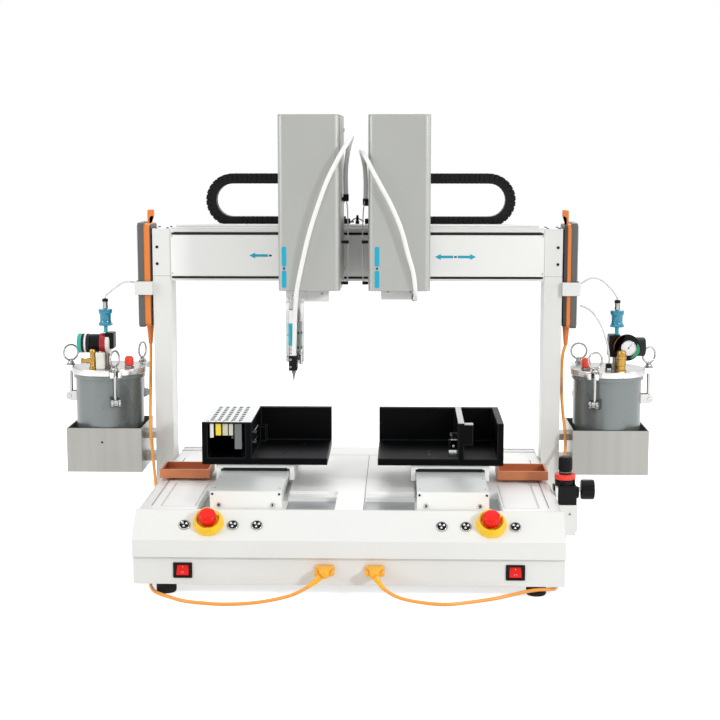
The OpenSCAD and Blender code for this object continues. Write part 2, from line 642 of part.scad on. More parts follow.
// tongue-and-arm carriage under a tray
module y_carriage(x) color("whitesmoke") {
  difference() {
    bx([x - 68, 205, 168], [x + 68, 372, tray_z]);
    for (a = [-45, 45]) for (y = [225, 350]) zc(x + a, y, 167, 177, 2.6, 16);
  }
  for (s = [-1, 1]) {
    bx([x + s * 64 - 4, 205, 148], [x + s * 64 + 4, 372, 168.01]);
    // tongue into the side slot, and the bearing on the rail
    bx([x + s * 55 - 7.5, 215, 147.6], [x + s * 55 + 7.5, 362, 154]);
    bx([x + s * 44 - 12, 215, 152.4], [x + s * 44 + 12, 362, 160]);
  }
}
module y_carriage_left() m() y_carriage(-slide_x);
module y_carriage_right() m() y_carriage(slide_x);

module fixture_left() m() {
  x0 = -tray_x - tray_w / 2;
  x1 = -tray_x + tray_w / 2;
  color("#1b1c1e") difference() {
    union() {
      bx([x0, 200, tray_z], [x1, 200 + tray_d, tray_z + 12]);
      bx([x0, 368, tray_z + 11.99], [x1, 200 + tray_d, tray_z + tray_h]);
      bx([x0, 200, tray_z + 11.99], [x0 + 10, 368.01, tray_z + tray_h]);
      bx([x0 + 75, 200, tray_z + 11.99], [x0 + 87, 368.01, tray_z + tray_h]);
      // gusset behind the partition
      bx([x0 + 86.9, 350, tray_z + 11.99], [x0 + 98, 368.01, tray_z + 40]);
    }
    for (x = [40, 60, 140, 170]) for (y = [240, 330])
      zc(x0 + x, y, tray_z - 1, tray_z + 13, 2.2, 12);
  }
  // perforated lid of the box
  color("silver") difference() {
    bx([x0 + 0.2, 200.2, tray_z + tray_h - 1], [x0 + 86.8, 369, tray_z + tray_h + 2]);
    for (i = [0 : 4]) for (j = [0 : 7]) translate([x0 + 13 + i * 12.5, 215 + j * 18.5, 0])
      bx([0, 0, tray_z + tray_h - 2], [6, 10, tray_z + tray_h + 3]);
  }
  // blocks hanging under the lid
  for (b = [[14, 6, 26, "white"], [24, 9, 22, "gold"], [36, 9, 22, "beige"], [47, 7, 22, "beige"],
    [57, 12, 46, "gray"]]) color(b[3]) translate([x0 + b[0], 203, tray_z + tray_h])
    bx([0, 0, -b[2]], [b[1], 9, 1]);
  // pins on the partition
  color("silver") for (z = [214, 232]) xc(212, z, x0 + 86.9, x0 + 95, 3, 14);
}

module fixture_right() m() {
  x0 = tray_x - tray_w / 2;
  x1 = tray_x + tray_w / 2;
  color("#1b1c1e") difference() {
    union() {
      bx([x0, 200, tray_z], [x1, 200 + tray_d, tray_z + 12]);
      bx([x0, 368, tray_z + 11.99], [x1, 200 + tray_d, tray_z + tray_h]);
      bx([x1 - 11, 200, tray_z + 11.99], [x1, 368.01, tray_z + tray_h]);
      bx([x1 - 79, 200, tray_z + 11.99], [x1 - 68, 368.01, tray_z + tray_h]);
      bx([x1 - 68.1, 200, tray_z + 36], [x1 - 53, 214, tray_z + tray_h]);
    }
    // fixing holes in the floor
    for (i = [0 : 5]) for (y = [240, 270]) zc(x0 + 45 + i * 9, y, tray_z - 1, tray_z + 13, 1.7, 12);
  }
  color("silver") {
    bx([x1 - 78.8, 200.2, tray_z + tray_h - 0.5], [x1 - 68.2, 368, tray_z + tray_h + 1.5]);
    bx([x1 - 10.8, 200.2, tray_z + tray_h - 0.5], [x1 - 0.2, 368, tray_z + tray_h + 1.5]);
    // small stop with a thumb screw on the partition
    bx([x1 - 94, 226, tray_z + 11.99], [x1 - 78.9, 238, tray_z + 40]);
    xc(232, tray_z + 48, x1 - 92, x1 - 78.9, 4.5, 14);
  }
}

module button(i) color("#3a3d40") m() on_slope(btn_x[i])
  translate([0, 0, -8]) cylinder(h = 11.4, r = 6.6, $fn = 24);
module button_1() button(0);
module button_2() button(1);
module button_3() button(2);
module button_4() button(3);
module button_5() button(4);
module button_6() button(5);

module estop_cap(i) color("#d0261a") m() on_slope(stop_x[i]) {
  translate([0, stop_up, -7]) cylinder(h = 20, r = 8.2, $fn = 24);
  translate([0, stop_up, 12]) cylinder(h = 12, r = 14, $fn = 32);
  translate([0, stop_up, 24 - eps]) cylinder(h = 4, r1 = 14, r2 = 9.5, $fn = 32);
}
module estop_cap_left() estop_cap(0);
module estop_cap_right() estop_cap(1);

module rocker(x) color("#c8281c") m() translate([x, 3, rocker_z]) rotate([-7, 0, 0]) difference() {
  bx([-9.9, -6.6, -9], [9.9, 3, 9]);
  translate([0, -7.6, 0]) rotate([-9, 0, 0]) bx([-11, -6, 0], [11, 1.2, 12]);
}
module rocker_left() rocker(rocker_x[0]);
module rocker_right() rocker(rocker_x[1]);

module frl_knob() color("#1d1f21") m() translate([frl_x, 190, 0]) {
  zc(0, 0, 166.2, 172, 11, 24);
  zc(0, 0, 172 - eps, 196, 12, 24);
}

// regulator knobs, turned about X
module pot_knob_left() color("#16706a") m() on_lid(-1) xc(riser_y, 45.5, -55, -31, 18, 32);
module pot_knob_right() color("#1a2a33") m() on_lid(1) xc(riser_y, 42.5, 32, 67, 18, 32);

// blue sleeve of the slide valve above a pot
module slide_valve(s) color("#1a95b8") m() on_lid(2 * s - 1) translate([riser_x[s], riser_y, 0])
  difference() {
    union() {
      zc(0, 0, 82, 110, 10, 28);
      zc(0, 0, 80, 85, 13.5, 28);
      zc(0, 0, 103, 111, 13, 28);
    }
    zc(0, 0, 79, 112, 4, 20);
  }
module slide_valve_left() slide_valve(0);
module slide_valve_right() slide_valve(1);

base_pan();
front_fascia();
top_deck();
side_rails();
rubber_feet();
gantry_posts();
beam_housing();
beam_cover();
guide_rails();
y_housings();
y_top_covers();
purge_trays();
panel_fittings();
estop_guards();
pendant_holders();
pendants();
pot_brackets();
pot_vessels();
pot_lids();
pot_clamps();
pot_regulators();
frl_body();
cable_plugs();
drag_chain_left();
drag_chain_right();
cable_left();
cable_right();
feed_tube_left();
feed_tube_right();
pot_tube_a();
pot_tube_b();
pot_tube_c();
x_carriage_left();
x_carriage_right();
head_cover_left();
head_cover_right();
z_slide_left();
z_slide_right();
valve_body();
needle();
y_carriage_left();
y_carriage_right();
fixture_left();
fixture_right();
button_1();
button_2();
button_3();
button_4();
button_5();
button_6();
estop_cap_left();
estop_cap_right();
rocker_left();
rocker_right();
frl_knob();
pot_knob_left();
pot_knob_right();
slide_valve_left();
slide_valve_right();
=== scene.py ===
# Desktop dispensing machine: white cabinet with two moving trays, a beam with two heads,
# drag chains, hand pendants on the posts and a pressure pot on each side.
import math
import bpy
import bmesh
import numpy as np
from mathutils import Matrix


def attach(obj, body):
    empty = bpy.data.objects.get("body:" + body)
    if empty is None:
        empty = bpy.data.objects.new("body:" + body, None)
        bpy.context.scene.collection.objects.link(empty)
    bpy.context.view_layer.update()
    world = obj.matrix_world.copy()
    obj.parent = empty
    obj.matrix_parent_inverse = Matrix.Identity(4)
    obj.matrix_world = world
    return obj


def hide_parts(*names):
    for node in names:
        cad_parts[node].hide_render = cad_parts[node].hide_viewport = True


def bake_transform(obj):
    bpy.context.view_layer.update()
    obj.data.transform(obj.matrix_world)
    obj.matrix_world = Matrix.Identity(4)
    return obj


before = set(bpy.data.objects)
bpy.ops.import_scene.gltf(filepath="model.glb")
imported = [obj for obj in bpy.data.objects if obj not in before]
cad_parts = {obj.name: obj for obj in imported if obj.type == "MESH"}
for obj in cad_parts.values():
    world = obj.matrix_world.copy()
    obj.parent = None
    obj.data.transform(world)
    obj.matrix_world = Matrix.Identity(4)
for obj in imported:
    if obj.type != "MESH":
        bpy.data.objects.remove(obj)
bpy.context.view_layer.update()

# shapes are worked out in millimetres, with Y counted from the lower front plate
mm = 0.001
yMiddle = 273


# a new object in the scene
def addObject(name, data):
    item = bpy.data.objects.new(name, data)
    bpy.context.scene.collection.objects.link(item)
    return item


# Camera

cameraSet = {"lens": 75, "place": (0.0872, -2.6289, 0.7208), "down": 8.012, "turn": 1.658}
cameraData = bpy.data.cameras.new("camera")
cameraData.lens = cameraSet["lens"]
cameraData.sensor_width = 36
cameraData.clip_end = 50
camera = addObject("camera", cameraData)
camera.location = cameraSet["place"]
camera.rotation_euler = (math.radians(90 - cameraSet["down"]), 0, math.radians(cameraSet["turn"]))
bpy.context.scene.camera = camera


# Shapes: a shape is a bag of points and faces; every part below adds grids of points to one

# an empty shape
def newShape():
    return {"points": [], "faces": [], "finish": [], "count": 0}


# rows of closed outlines joined into quads; the rows wrap too, or the first and last are capped
def addGrid(shape, grid, finish=0, wrapRows=False):
    grid = np.asarray(grid, float)
    rows, cols = grid.shape[:2]
    index = shape["count"] + np.arange(rows * cols).reshape(rows, cols)
    below = index if wrapRows else index[:-1]
    above = np.roll(index, -1, 0) if wrapRows else index[1:]
    quads = [below, np.roll(below, -1, 1), np.roll(above, -1, 1), above]
    faces = np.stack(quads, -1).reshape(-1, 4).tolist()
    if not wrapRows:
        faces += [index[0][::-1].tolist(), index[-1].tolist()]
    shape["points"].append(grid.reshape(-1, 3))
    shape["faces"] += faces
    shape["finish"] += [finish] * len(faces)
    shape["count"] += rows * cols


# puts a shape into another one, turned about X, Y and Z in that order and then moved
def addShape(target, source, turn=(0, 0, 0), move=(0, 0, 0), mirrorX=False):
    points = np.concatenate(source["points"])
    if mirrorX:
        points = points * [-1, 1, 1]
    points = points @ turning(turn).T + np.asarray(move, float)
    faces = [[i + target["count"] for i in face] for face in source["faces"]]
    target["points"].append(points)
    target["faces"] += faces
    target["finish"] += source["finish"]
    target["count"] += len(points)


# a copy of a shape, mirrored, turned and moved
def moved(source, turn=(0, 0, 0), move=(0, 0, 0), mirrorX=False):
    target = newShape()
    addShape(target, source, turn, move, mirrorX)
    return target


# a half and its mirror image
def bothSides(half):
    shape = moved(half)
    addShape(shape, half, mirrorX=True)
    return shape


# rotation matrix of turns about X, then Y, then Z, in degrees
def turning(turn):
    a, b, c = np.radians(turn)
    aboutX = np.array([[1, 0, 0], [0, np.cos(a), -np.sin(a)], [0, np.sin(a), np.cos(a)]])
    aboutY = np.array([[np.cos(b), 0, np.sin(b)], [0, 1, 0], [-np.sin(b), 0, np.cos(b)]])
    aboutZ = np.array([[np.cos(c), -np.sin(c), 0], [np.sin(c), np.cos(c), 0], [0, 0, 1]])
    return aboutZ @ aboutY @ aboutX


# local axes (u, v, w) laid on the machine's: w runs along the named axis
def alongAxis(points, axis):
    order = {"z": [0, 1, 2], "y": [0, 2, 1], "x": [2, 0, 1]}[axis]
    return points[..., order]


# even angles round a whole turn
def evenAngles(count):
    return np.arange(count) * 2 * np.pi / count


# points by radius and angle: radius times cosine and sine
def polar(radius, a):
    return np.stack([radius * np.cos(a), radius * np.sin(a)], -1)


# closed outline of a circle
def circle(radius, count=32):
    return polar(radius, evenAngles(count))


# the four corners of a rectangle, counter-clockwise from its low corner
def boxCorners(lowU, lowV, highU, highV):
    return [(lowU, lowV), (highU, lowV), (highU, highV), (lowU, highV)]


# rectangle with quarter circles for corners
def roundRect(width, height, radius, steps=4):
    radius = min(radius, width / 2 - 0.01, height / 2 - 0.01)
    a = np.linspace(0, np.pi / 2, steps + 1)
    quarters = [a, a + np.pi / 2, a + np.pi, a + 3 * np.pi / 2]
    signs = [(1, 1), (-1, 1), (-1, -1), (1, -1)]
    arcs = [polar(radius, q) + [sx * (width / 2 - radius), sy * (height / 2 - radius)]
            for q, (sx, sy) in zip(quarters, signs)]
    return np.concatenate(arcs)


# polygon whose corners are replaced by arcs that touch both sides
def rounded(corners, radius, steps=4):
    corners = np.asarray(corners, float)
    radii = np.broadcast_to(np.asarray(radius, float), (len(corners),))
    before = np.roll(corners, 1, 0) - corners
    after = np.roll(corners, -1, 0) - corners
    before /= np.linalg.norm(before, axis=1, keepdims=True)
    after /= np.linalg.norm(after, axis=1, keepdims=True)
    half = np.arccos(np.clip((before * after).sum(1), -0.9999, 0.9999)) / 2
    reach = radii / np.tan(half)
    middle = before + after
    middle /= np.maximum(np.linalg.norm(middle, axis=1, keepdims=True), 1e-9)
    centre = corners + middle * (radii / np.sin(half))[:, None]
    start = corners + before * reach[:, None] - centre
    end = corners + after * reach[:, None] - centre
    t = np.linspace(0, 1, steps + 1)[None, :, None]
    span = (np.pi - 2 * half)[:, None, None]
    arc = (np.sin((1 - t) * span) * start[:, None] + np.sin(t * span) * end[:, None]) / np.sin(span)
    return (centre[:, None] + arc).reshape(-1, 2)


# moves each point of a closed outline inwards along the mean of its two sides' normals
def inset(outline, amount):
    ahead = np.roll(outline, -1, 0) - outline
    behind = outline - np.roll(outline, 1, 0)
    area = 0.5 * np.sum(outline[:, 0] * np.roll(outline[:, 1], -1) - np.roll(outline[:, 0], -1) * outline[:, 1])
    n1 = np.stack([-ahead[:, 1], ahead[:, 0]], -1)
    n2 = np.stack([-behind[:, 1], behind[:, 0]], -1)
    n1 /= np.maximum(np.linalg.norm(n1, axis=1, keepdims=True), 1e-9)
    n2 /= np.maximum(np.linalg.norm(n2, axis=1, keepdims=True), 1e-9)
    n = n1 + n2
    n /= np.maximum((n * n1).sum(1, keepdims=True), 0.35)
    return outline + n * amount * np.sign(area)


# outline drawn out from low to high along an axis, with its rims rounded off
def drawn(shape, outline, low, high, axis="z", at=(0, 0), edge=0.4, steps=2, finish=0):
    outline = np.asarray(outline, float)
    edge = min(edge, (high - low) / 2 - 0.001)
    a = np.linspace(0, np.pi / 2, steps + 1)
    depths = np.concatenate([low + edge * (1 - np.cos(a)), high - edge * (1 - np.cos(a[::-1]))])
    insets = np.concatenate([edge * (1 - np.sin(a)), edge * (1 - np.sin(a[::-1]))])
    rows = [np.concatenate([inset(outline, i) + at, np.full((len(outline), 1), d)], 1)
            for i, d in zip(insets, depths)]
    addGrid(shape, alongAxis(np.array(rows), axis), finish)


# frame between two outlines of the same count, drawn out along an axis
def drawnRing(shape, outer, inner, low, high, axis="z", at=(0, 0), finish=0, edge=0.3):
    def row(outline, depth):
        return np.concatenate([outline + at, np.full((len(outline), 1), depth)], 1)
    rows = [row(outer, low), row(outer, high - edge), row(inset(outer, edge), high),
            row(inset(inner, -edge), high), row(inner, high - edge), row(inner, low)]
    addGrid(shape, alongAxis(np.array(rows), axis), finish, wrapRows=True)


# profile of (radius, height) turned once round an axis; a closed profile makes a ring
def turned(shape, profile, at=(0, 0, 0), axis="z", sides=32, finish=0, ring=False):
    profile = np.asarray(profile, float)
    a = evenAngles(sides)
    grid = np.stack([profile[:, :1] * np.cos(a), profile[:, :1] * np.sin(a),
                     np.repeat(profile[:, 1:], sides, 1)], -1)
    addGrid(shape, alongAxis(grid, axis) + np.asarray(at, float), finish, wrapRows=ring)


# box between two corners with rounded edges
def block(shape, low, high, edge=0.5, finish=0, steps=2):
    low, high = np.asarray(low, float), np.asarray(high, float)
    size = high - low
    edge = min(edge, size.min() / 2 - 0.01)
    outline = roundRect(size[0], size[1], edge, steps)
    drawn(shape, outline, low[2], high[2], "z", (low + high)[:2] / 2, edge, steps, finish)


# smooth line through given points: the cubic with each tangent along its neighbours
def smoothLine(points, count):
    p = np.asarray(points, float)
    ends = np.concatenate([2 * p[:1] - p[1:2], p, 2 * p[-1:] - p[-2:-1]])
    a, b, c, d = ends[:-3, None], ends[1:-2, None], ends[2:-1, None], ends[3:, None]
    t = np.linspace(0, 1, count, endpoint=False)[None, :, None]
    curve = 0.5 * (2 * b + (c - a) * t + (2 * a - 5 * b + 4 * c - d) * t ** 2 + (3 * b - a - 3 * c + d) * t ** 3)
    return np.concatenate([curve.reshape(-1, p.shape[1]), p[-1:]])


# circle carried along a path, its frame passed on from ring to ring without twist
def tube(shape, path, radius, sides=12, finish=0, start=(0, 1, 0), closed=False):
    path = np.asarray(path, float)
    if closed:
        tangents = np.roll(path, -1, 0) - np.roll(path, 1, 0)
    else:
        tangents = np.gradient(path, axis=0)
    tangents /= np.linalg.norm(tangents, axis=1, keepdims=True)
    side = np.asarray(start, float)
    sidesList = []
    for t in tangents:
        side = side - t * (side @ t)
        side = side / np.linalg.norm(side)
        sidesList.append(side)
    s = np.array(sidesList)
    u = np.cross(tangents, s)
    a = evenAngles(sides)
    r = np.broadcast_to(np.asarray(radius, float), (len(path),))[:, None, None]
    grid = path[:, None] + r * (s[:, None] * np.cos(a)[:, None] + u[:, None] * np.sin(a)[:, None])
    addGrid(shape, grid, finish, wrapRows=closed)


# machine screw with a hexagon socket, its axis along w and its head's foot at 0
def socketScrew(radius, height, finish=0, socketFinish=1):
    shape = newShape()
    r, h = radius, height
    turned(shape, [(r, 0), (r, h * 0.8), (r * 0.86, h), (r * 0.52, h), (r * 0.5, h * 0.5), (0.05, h * 0.5)],
           sides=20, finish=finish)
    drawn(shape, circle(r * 0.48, 6), h * 0.42, h * 0.55, edge=0.01, finish=socketFinish)
    return shape


# socket screws at several places, facing front, up or right
def addScrews(target, radius, height, places, facing="front", finish=0, socketFinish=1):
    turn = {"front": (90, 0, 0), "up": (0, 0, 0), "right": (0, 90, 0)}[facing]
    for place in places:
        addShape(target, socketScrew(radius, height, finish, socketFinish), turn, place)


# several parts turned round one axis, each given as sides, finish and profile
def turnedParts(shape, at, axis, parts):
    for sides, finish, profile in parts:
        turned(shape, profile, at, axis, sides, finish)


# makes the mesh of a shape, gives it its finishes and lets it ride on a body
def build(name, shape, finishes, body, replaces=(), angle=38, weighted=True):
    points = (np.concatenate(shape["points"]) - [0, yMiddle, 0]) * mm
    mesh = bpy.data.meshes.new(name)
    mesh.from_pydata(points.tolist(), [], shape["faces"])
    for finish in finishes:
        mesh.materials.append(finish)
    mesh.polygons.foreach_set("material_index", np.array(shape["finish"], np.int32))
    mesh.polygons.foreach_set("use_smooth", np.ones(len(shape["faces"]), bool))
    work = bmesh.new()
    work.from_mesh(mesh)
    bmesh.ops.recalc_face_normals(work, faces=work.faces)
    work.to_mesh(mesh)
    work.free()
    mesh.set_sharp_from_angle(angle=math.radians(angle))
    piece = addObject(name, mesh)
    if weighted:
        shading = piece.modifiers.new("shading", "WEIGHTED_NORMAL")
        shading.keep_sharp = True
    if body:
        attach(piece, body)
    if replaces:
        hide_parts(*replaces)
    return piece


# Materials: node groups that several finishes share, then one function per kind of finish

# sets a socket to a value, or links it where an output is given
def feed(tree, socket, value):
    if isinstance(value, bpy.types.NodeSocket):
        tree.links.new(value, socket)
    else:
        socket.default_value = value


# a new node: unnamed values go to its first sockets, named ones to its options and named sockets
def addNode(tree, kind, *values, **named):
    node = tree.nodes.new(kind)
    for key, value in named.items():
        if key in node.bl_rna.properties:
            setattr(node, key, value)
        else:
            feed(tree, node.inputs[key.replace("_", " ")], value)
    for socket, value in zip(node.inputs, values):
        feed(tree, socket, value)
    return node


# one sum, difference, product or quotient as a node
def calc(tree, operation, first, second, clamp=False):
    return addNode(tree, "ShaderNodeMath", first, second, operation=operation, use_clamp=clamp).outputs[0]


# noise in the piece's own place, its scale worked out from a size in millimetres
def addNoise(tree, place, size, detail, rough):
    return addNode(tree, "ShaderNodeTexNoise", Vector=place, Scale=calc(tree, "DIVIDE", 1000, size),
                   Detail=detail, Roughness=rough).outputs["Fac"]


# the point's place on the piece itself
def objectPlace(tree):
    return addNode(tree, "ShaderNodeTexCoord").outputs["Object"]


# an empty group; a socket is a number or a vector, as its value is
def newGroup(name, inputs, outputs):
    group = bpy.data.node_groups.new(name, "ShaderNodeTree")
    for way, sockets in (("INPUT", inputs), ("OUTPUT", outputs)):
        for label, value in sockets.items():
            kind = "NodeSocketFloat" if isinstance(value, float) else "NodeSocketVector"
            socket = group.interface.new_socket(name=label, in_out=way, socket_type=kind)
            if way == "INPUT":
                socket.default_value = value
    return group, group.nodes.new("NodeGroupInput").outputs, group.nodes.new("NodeGroupOutput").inputs


# fine even grain of paint and moulded plastic, and wide faint patches
def makeSurfaceGrain():
    group, given, result = newGroup("surfaceGrain", {"Size mm": 0.6, "Patch mm": 90.0}, {"Grain": 0.0, "Patch": 0.0})
    place = objectPlace(group)
    feed(group, result["Grain"], addNoise(group, place, given["Size mm"], 2.0, 0.55))
    feed(group, result["Patch"], addNoise(group, place, given["Patch mm"], 3.0, 0.5))
    return group


# brushed lines: noise stretched a hundredfold along one axis
def makeBrushedLines():
    group, given, result = newGroup("brushedLines", {"Stretch": (1.0, 0.01, 1.0), "Line mm": 0.5},
                                    {"Lines": 0.0, "Streaks": 0.0})
    place = addNode(group, "ShaderNodeVectorMath", objectPlace(group), given["Stretch"],
                    operation="MULTIPLY").outputs["Vector"]
    streaks = addNode(group, "ShaderNodeTexNoise", Vector=place, Detail=2.0, Roughness=0.5, Scale=60.0)
    feed(group, result["Lines"], addNoise(group, place, given["Line mm"], 4.0, 0.6))
    feed(group, result["Streaks"], streaks.outputs["Fac"])
    return group


# painted highlight on edges: where the rounded normal turns away from the flat one
def makeEdgeHighlight():
    group, given, result = newGroup("edgeHighlight", {"Reach mm": 1.2, "Amount": 1.0}, {"Edge": 0.0, "Normal": (0, 0, 0)})
    soft = addNode(group, "ShaderNodeBevel", samples=4,
                   Radius=calc(group, "MULTIPLY", given["Reach mm"], 0.001)).outputs["Normal"]
    flat = addNode(group, "ShaderNodeNewGeometry").outputs["Normal"]
    same = addNode(group, "ShaderNodeVectorMath", soft, flat, operation="DOT_PRODUCT").outputs["Value"]
    away = calc(group, "SUBTRACT", 1, same, clamp=True)
    feed(group, result["Edge"], calc(group, "MULTIPLY", away, given["Amount"], clamp=True))
    feed(group, result["Normal"], soft)
    return group


# dust that settles on faces looking up, in soft patches
def makeSettledDust():
    group, given, result = newGroup("settledDust", {"Patch mm": 25.0, "Amount": 0.3}, {"Dust": 0.0})
    normal = addNode(group, "ShaderNodeNewGeometry").outputs["Normal"]
    height = addNode(group, "ShaderNodeSeparateXYZ", normal).outputs["Z"]
    up = addNode(group, "ShaderNodeMapRange", height, From_Min=0.7, From_Max=1.0)
    noise = addNoise(group, objectPlace(group), given["Patch mm"], 6.0, 0.65)
    patch = addNode(group, "ShaderNodeMapRange", noise, From_Min=0.42, From_Max=0.75)
    both = calc(group, "MULTIPLY", up.outputs["Result"], patch.outputs["Result"])
    feed(group, result["Dust"], calc(group, "MULTIPLY", both, given["Amount"], clamp=True))
    return group


surfaceGrain = makeSurfaceGrain()
brushedLines = makeBrushedLines()
edgeHighlight = makeEdgeHighlight()
settledDust = makeSettledDust()


# a material with its fixed values set
def startMaterial(name, metallic, specular, sockets):
    material = bpy.data.materials.new(name)
    material.use_nodes = True
    shader = material.node_tree.nodes["Principled BSDF"]
    for label, value in {"Metallic": metallic, "Specular IOR Level": specular, **dict(sockets)}.items():
        shader.inputs[label].default_value = value
    return material, material.node_tree


# the shader's colour, its gloss swinging round a middle with a mask, and bump over rounded edges
def finishMaterial(tree, base, mask, roughness, swing, relief, bump, depth, edges):
    shader = tree.nodes["Principled BSDF"]
    gloss = addNode(tree, "ShaderNodeMapRange", mask, To_Min=roughness - swing, To_Max=roughness + swing)
    height = addNode(tree, "ShaderNodeBump", Strength=bump, Distance=depth, Height=relief,
                     Normal=edges.outputs["Normal"])
    feed(tree, shader.inputs["Base Color"], base)
    feed(tree, shader.inputs["Roughness"], gloss.outputs["Result"])
    feed(tree, shader.inputs["Normal"], height.outputs["Normal"])


# a shared group put into a material, its inputs set by name
def placeGroup(tree, group, **values):
    node = tree.nodes.new("ShaderNodeGroup")
    node.node_tree = group
    for key, value in values.items():
        node.inputs[key.replace("_", " ")].default_value = value
    return node


# two colours mixed by a mask
def mixColours(tree, mask, first, second):
    node = addNode(tree, "ShaderNodeMix", mask, data_type="RGBA")
    for socket, value in ((node.inputs[6], first), (node.inputs[7], second)):
        feed(tree, socket, (*value, 1) if isinstance(value, tuple) else value)
    return node.outputs[2]


# a colour made darker or lighter, none of its parts above 1
def shaded(colour, factor):
    return tuple(min(c * factor, 1.0) for c in colour)


# paint or moulded plastic: grain in the bump, faint patches in colour and gloss, a painted highlight on edges
def coated(name, colour, roughness, metallic=0.0, grain=0.6, bump=0.05, patch=90, spread=0.03,
           edge=0.25, edgeReach=0.8, highlightGain=1.35, dust=0.0, specular=0.5, sockets=()):
    material, tree = startMaterial(name, metallic, specular, sockets)
    surface = placeGroup(tree, surfaceGrain, Size_mm=grain, Patch_mm=patch)
    edges = placeGroup(tree, edgeHighlight, Reach_mm=edgeReach, Amount=edge)
    patches = surface.outputs["Patch"]
    base = mixColours(tree, patches, shaded(colour, 1 - spread), shaded(colour, 1 + spread))
    # painted highlight: the edges take the colour raised by the gain
    base = mixColours(tree, edges.outputs["Edge"], base, shaded(colour, highlightGain))
    if dust:
        layer = placeGroup(tree, settledDust, Amount=dust)
        base = mixColours(tree, layer.outputs["Dust"], base, (0.55, 0.53, 0.5))
    finishMaterial(tree, base, patches, roughness, 0.05, surface.outputs["Grain"], bump, 0.0004, edges)
    return material


# bare metal: brushed lines in colour, gloss and bump, a painted highlight on edges; rim paints darker reflections on
# the sides of round pieces, where they turn away from the camera
def bareMetal(name, colour, roughness, stretch=(1, 0.01, 1), line=0.5, bump=0.06, spread=0.06, edge=0.3,
              metallic=1.0, rim=0.0):
    material, tree = startMaterial(name, metallic, 0.5, ())
    brush = placeGroup(tree, brushedLines, Stretch=stretch, Line_mm=line)
    edges = placeGroup(tree, edgeHighlight, Reach_mm=0.7, Amount=edge)
    lines = brush.outputs["Lines"]
    base = mixColours(tree, brush.outputs["Streaks"], shaded(colour, 1 - spread), shaded(colour, 1 + spread))
    # painted highlight: edges three tenths lighter
    base = mixColours(tree, edges.outputs["Edge"], base, shaded(colour, 1.3))
    # painted reflection: faces seen edge-on made darker by rim
    if rim:
        facing = addNode(tree, "ShaderNodeLayerWeight", Blend=0.5)
        base = mixColours(tree, facing.outputs["Facing"], base, shaded(colour, 1 - rim))
    finishMaterial(tree, base, lines, roughness, 0.08, lines, bump, 0.0003, edges)
    return material


whitePaint = coated("whitePaint", (0.785, 0.79, 0.766), 0.42, grain=0.9, bump=0.07, edge=0.35)
# a lighter copy of the white paint: painted light on the deck, with a little settled dust
litDeckPaint = coated("litDeckPaint", (0.92, 0.92, 0.905), 0.36, grain=0.9, dust=0.02)
# a lighter white, partly the panels' own colour and partly painted light on covers that lie in shade
litPanelWhite = coated("litPanelWhite", (0.9, 0.905, 0.88), 0.4, grain=1.2, bump=0.04)
railWhite = coated("railWhite", (0.86, 0.86, 0.85), 0.3, metallic=0.1, grain=0.5, bump=0.03)
# the heads' rounded corners get a strong painted highlight from the edge settings
headSilver = coated("headSilver", (0.41, 0.418, 0.395), 0.36, metallic=0.4, grain=0.25, patch=160,
                    spread=0.05, edge=1.0, edgeReach=2.5, highlightGain=2.1)
# black anodised fixtures: the near-zero colour paints the shade inside them, and a twentyfold lighter painted
# highlight runs along their edges
anodBlackPaintedShade = coated("anodBlackPaintedShade", (0.002, 0.0022, 0.0025), 0.36, grain=0.3, bump=0.1, spread=0.2, edge=2.5,
                   edgeReach=4.0, highlightGain=20, specular=0.05)
chainBlack = coated("chainBlack", (0.006, 0.006, 0.0065), 0.5, grain=0.4, bump=0.15, spread=0.15, edge=1.2, dust=0.01,
                    specular=0.16)
rubberBlack = coated("rubberBlack", (0.01, 0.01, 0.01), 0.7, grain=0.35, bump=0.3, spread=0.2, specular=0.2)
glossBlack = coated("glossBlack", (0.004, 0.004, 0.0045), 0.16, grain=1.0, bump=0.02, edge=0.6, specular=0.14)
satinBlack = coated("satinBlack", (0.006, 0.006, 0.007), 0.36, grain=0.4, bump=0.12, edge=1.0, specular=0.12)
# black of the slots, lid openings and screw sockets: painted shade of the openings
slotShade = coated("slotShade", (0.004, 0.004, 0.004), 0.8, grain=0.5)
potGrey = coated("potGrey", (0.19, 0.215, 0.212), 0.28, metallic=0.5, grain=0.5, spread=0.05, edge=0.8)
coverGrey = coated("coverGrey", (0.69, 0.71, 0.7), 0.34, metallic=0.3, grain=0.5, bump=0.04, patch=120, spread=0.05)
recessGrey = coated("recessGrey", (0.4, 0.42, 0.43), 0.32, metallic=0.4)
# where rim is set below, the metal's sides get a painted dark reflection
aluminium = bareMetal("aluminium", (0.72, 0.73, 0.74), 0.38, stretch=(1, 0.02, 1), metallic=0.85, rim=0.5)
carriageGrey = bareMetal("carriageGrey", (0.56, 0.57, 0.57), 0.42, stretch=(0.02, 1, 1), metallic=0.7)
sheetSteel = bareMetal("sheetSteel", (0.36, 0.355, 0.33), 0.36, stretch=(1, 1, 0.02), line=0.7, bump=0.12,
                       spread=0.12, metallic=0.85)
lidSteel = bareMetal("lidSteel", (0.8, 0.8, 0.785), 0.2, stretch=(1, 0.3, 1), line=0.8, bump=0.03, rim=0.45)
polishedSteel = bareMetal("polishedSteel", (0.5, 0.5, 0.49), 0.12, stretch=(1, 1, 0.3), line=1.5, bump=0.02, rim=0.9)
needleSteel = bareMetal("needleSteel", (0.16, 0.16, 0.16), 0.3, stretch=(1, 1, 0.3), line=0.8, bump=0.03, rim=0.5)
railSteel = bareMetal("railSteel", (0.86, 0.86, 0.85), 0.3, stretch=(0.02, 1, 1), line=0.8, metallic=0.5)
brass = bareMetal("brass", (0.5, 0.29, 0.07), 0.22, stretch=(1, 1, 0.2), line=0.8, bump=0.04, rim=0.6)
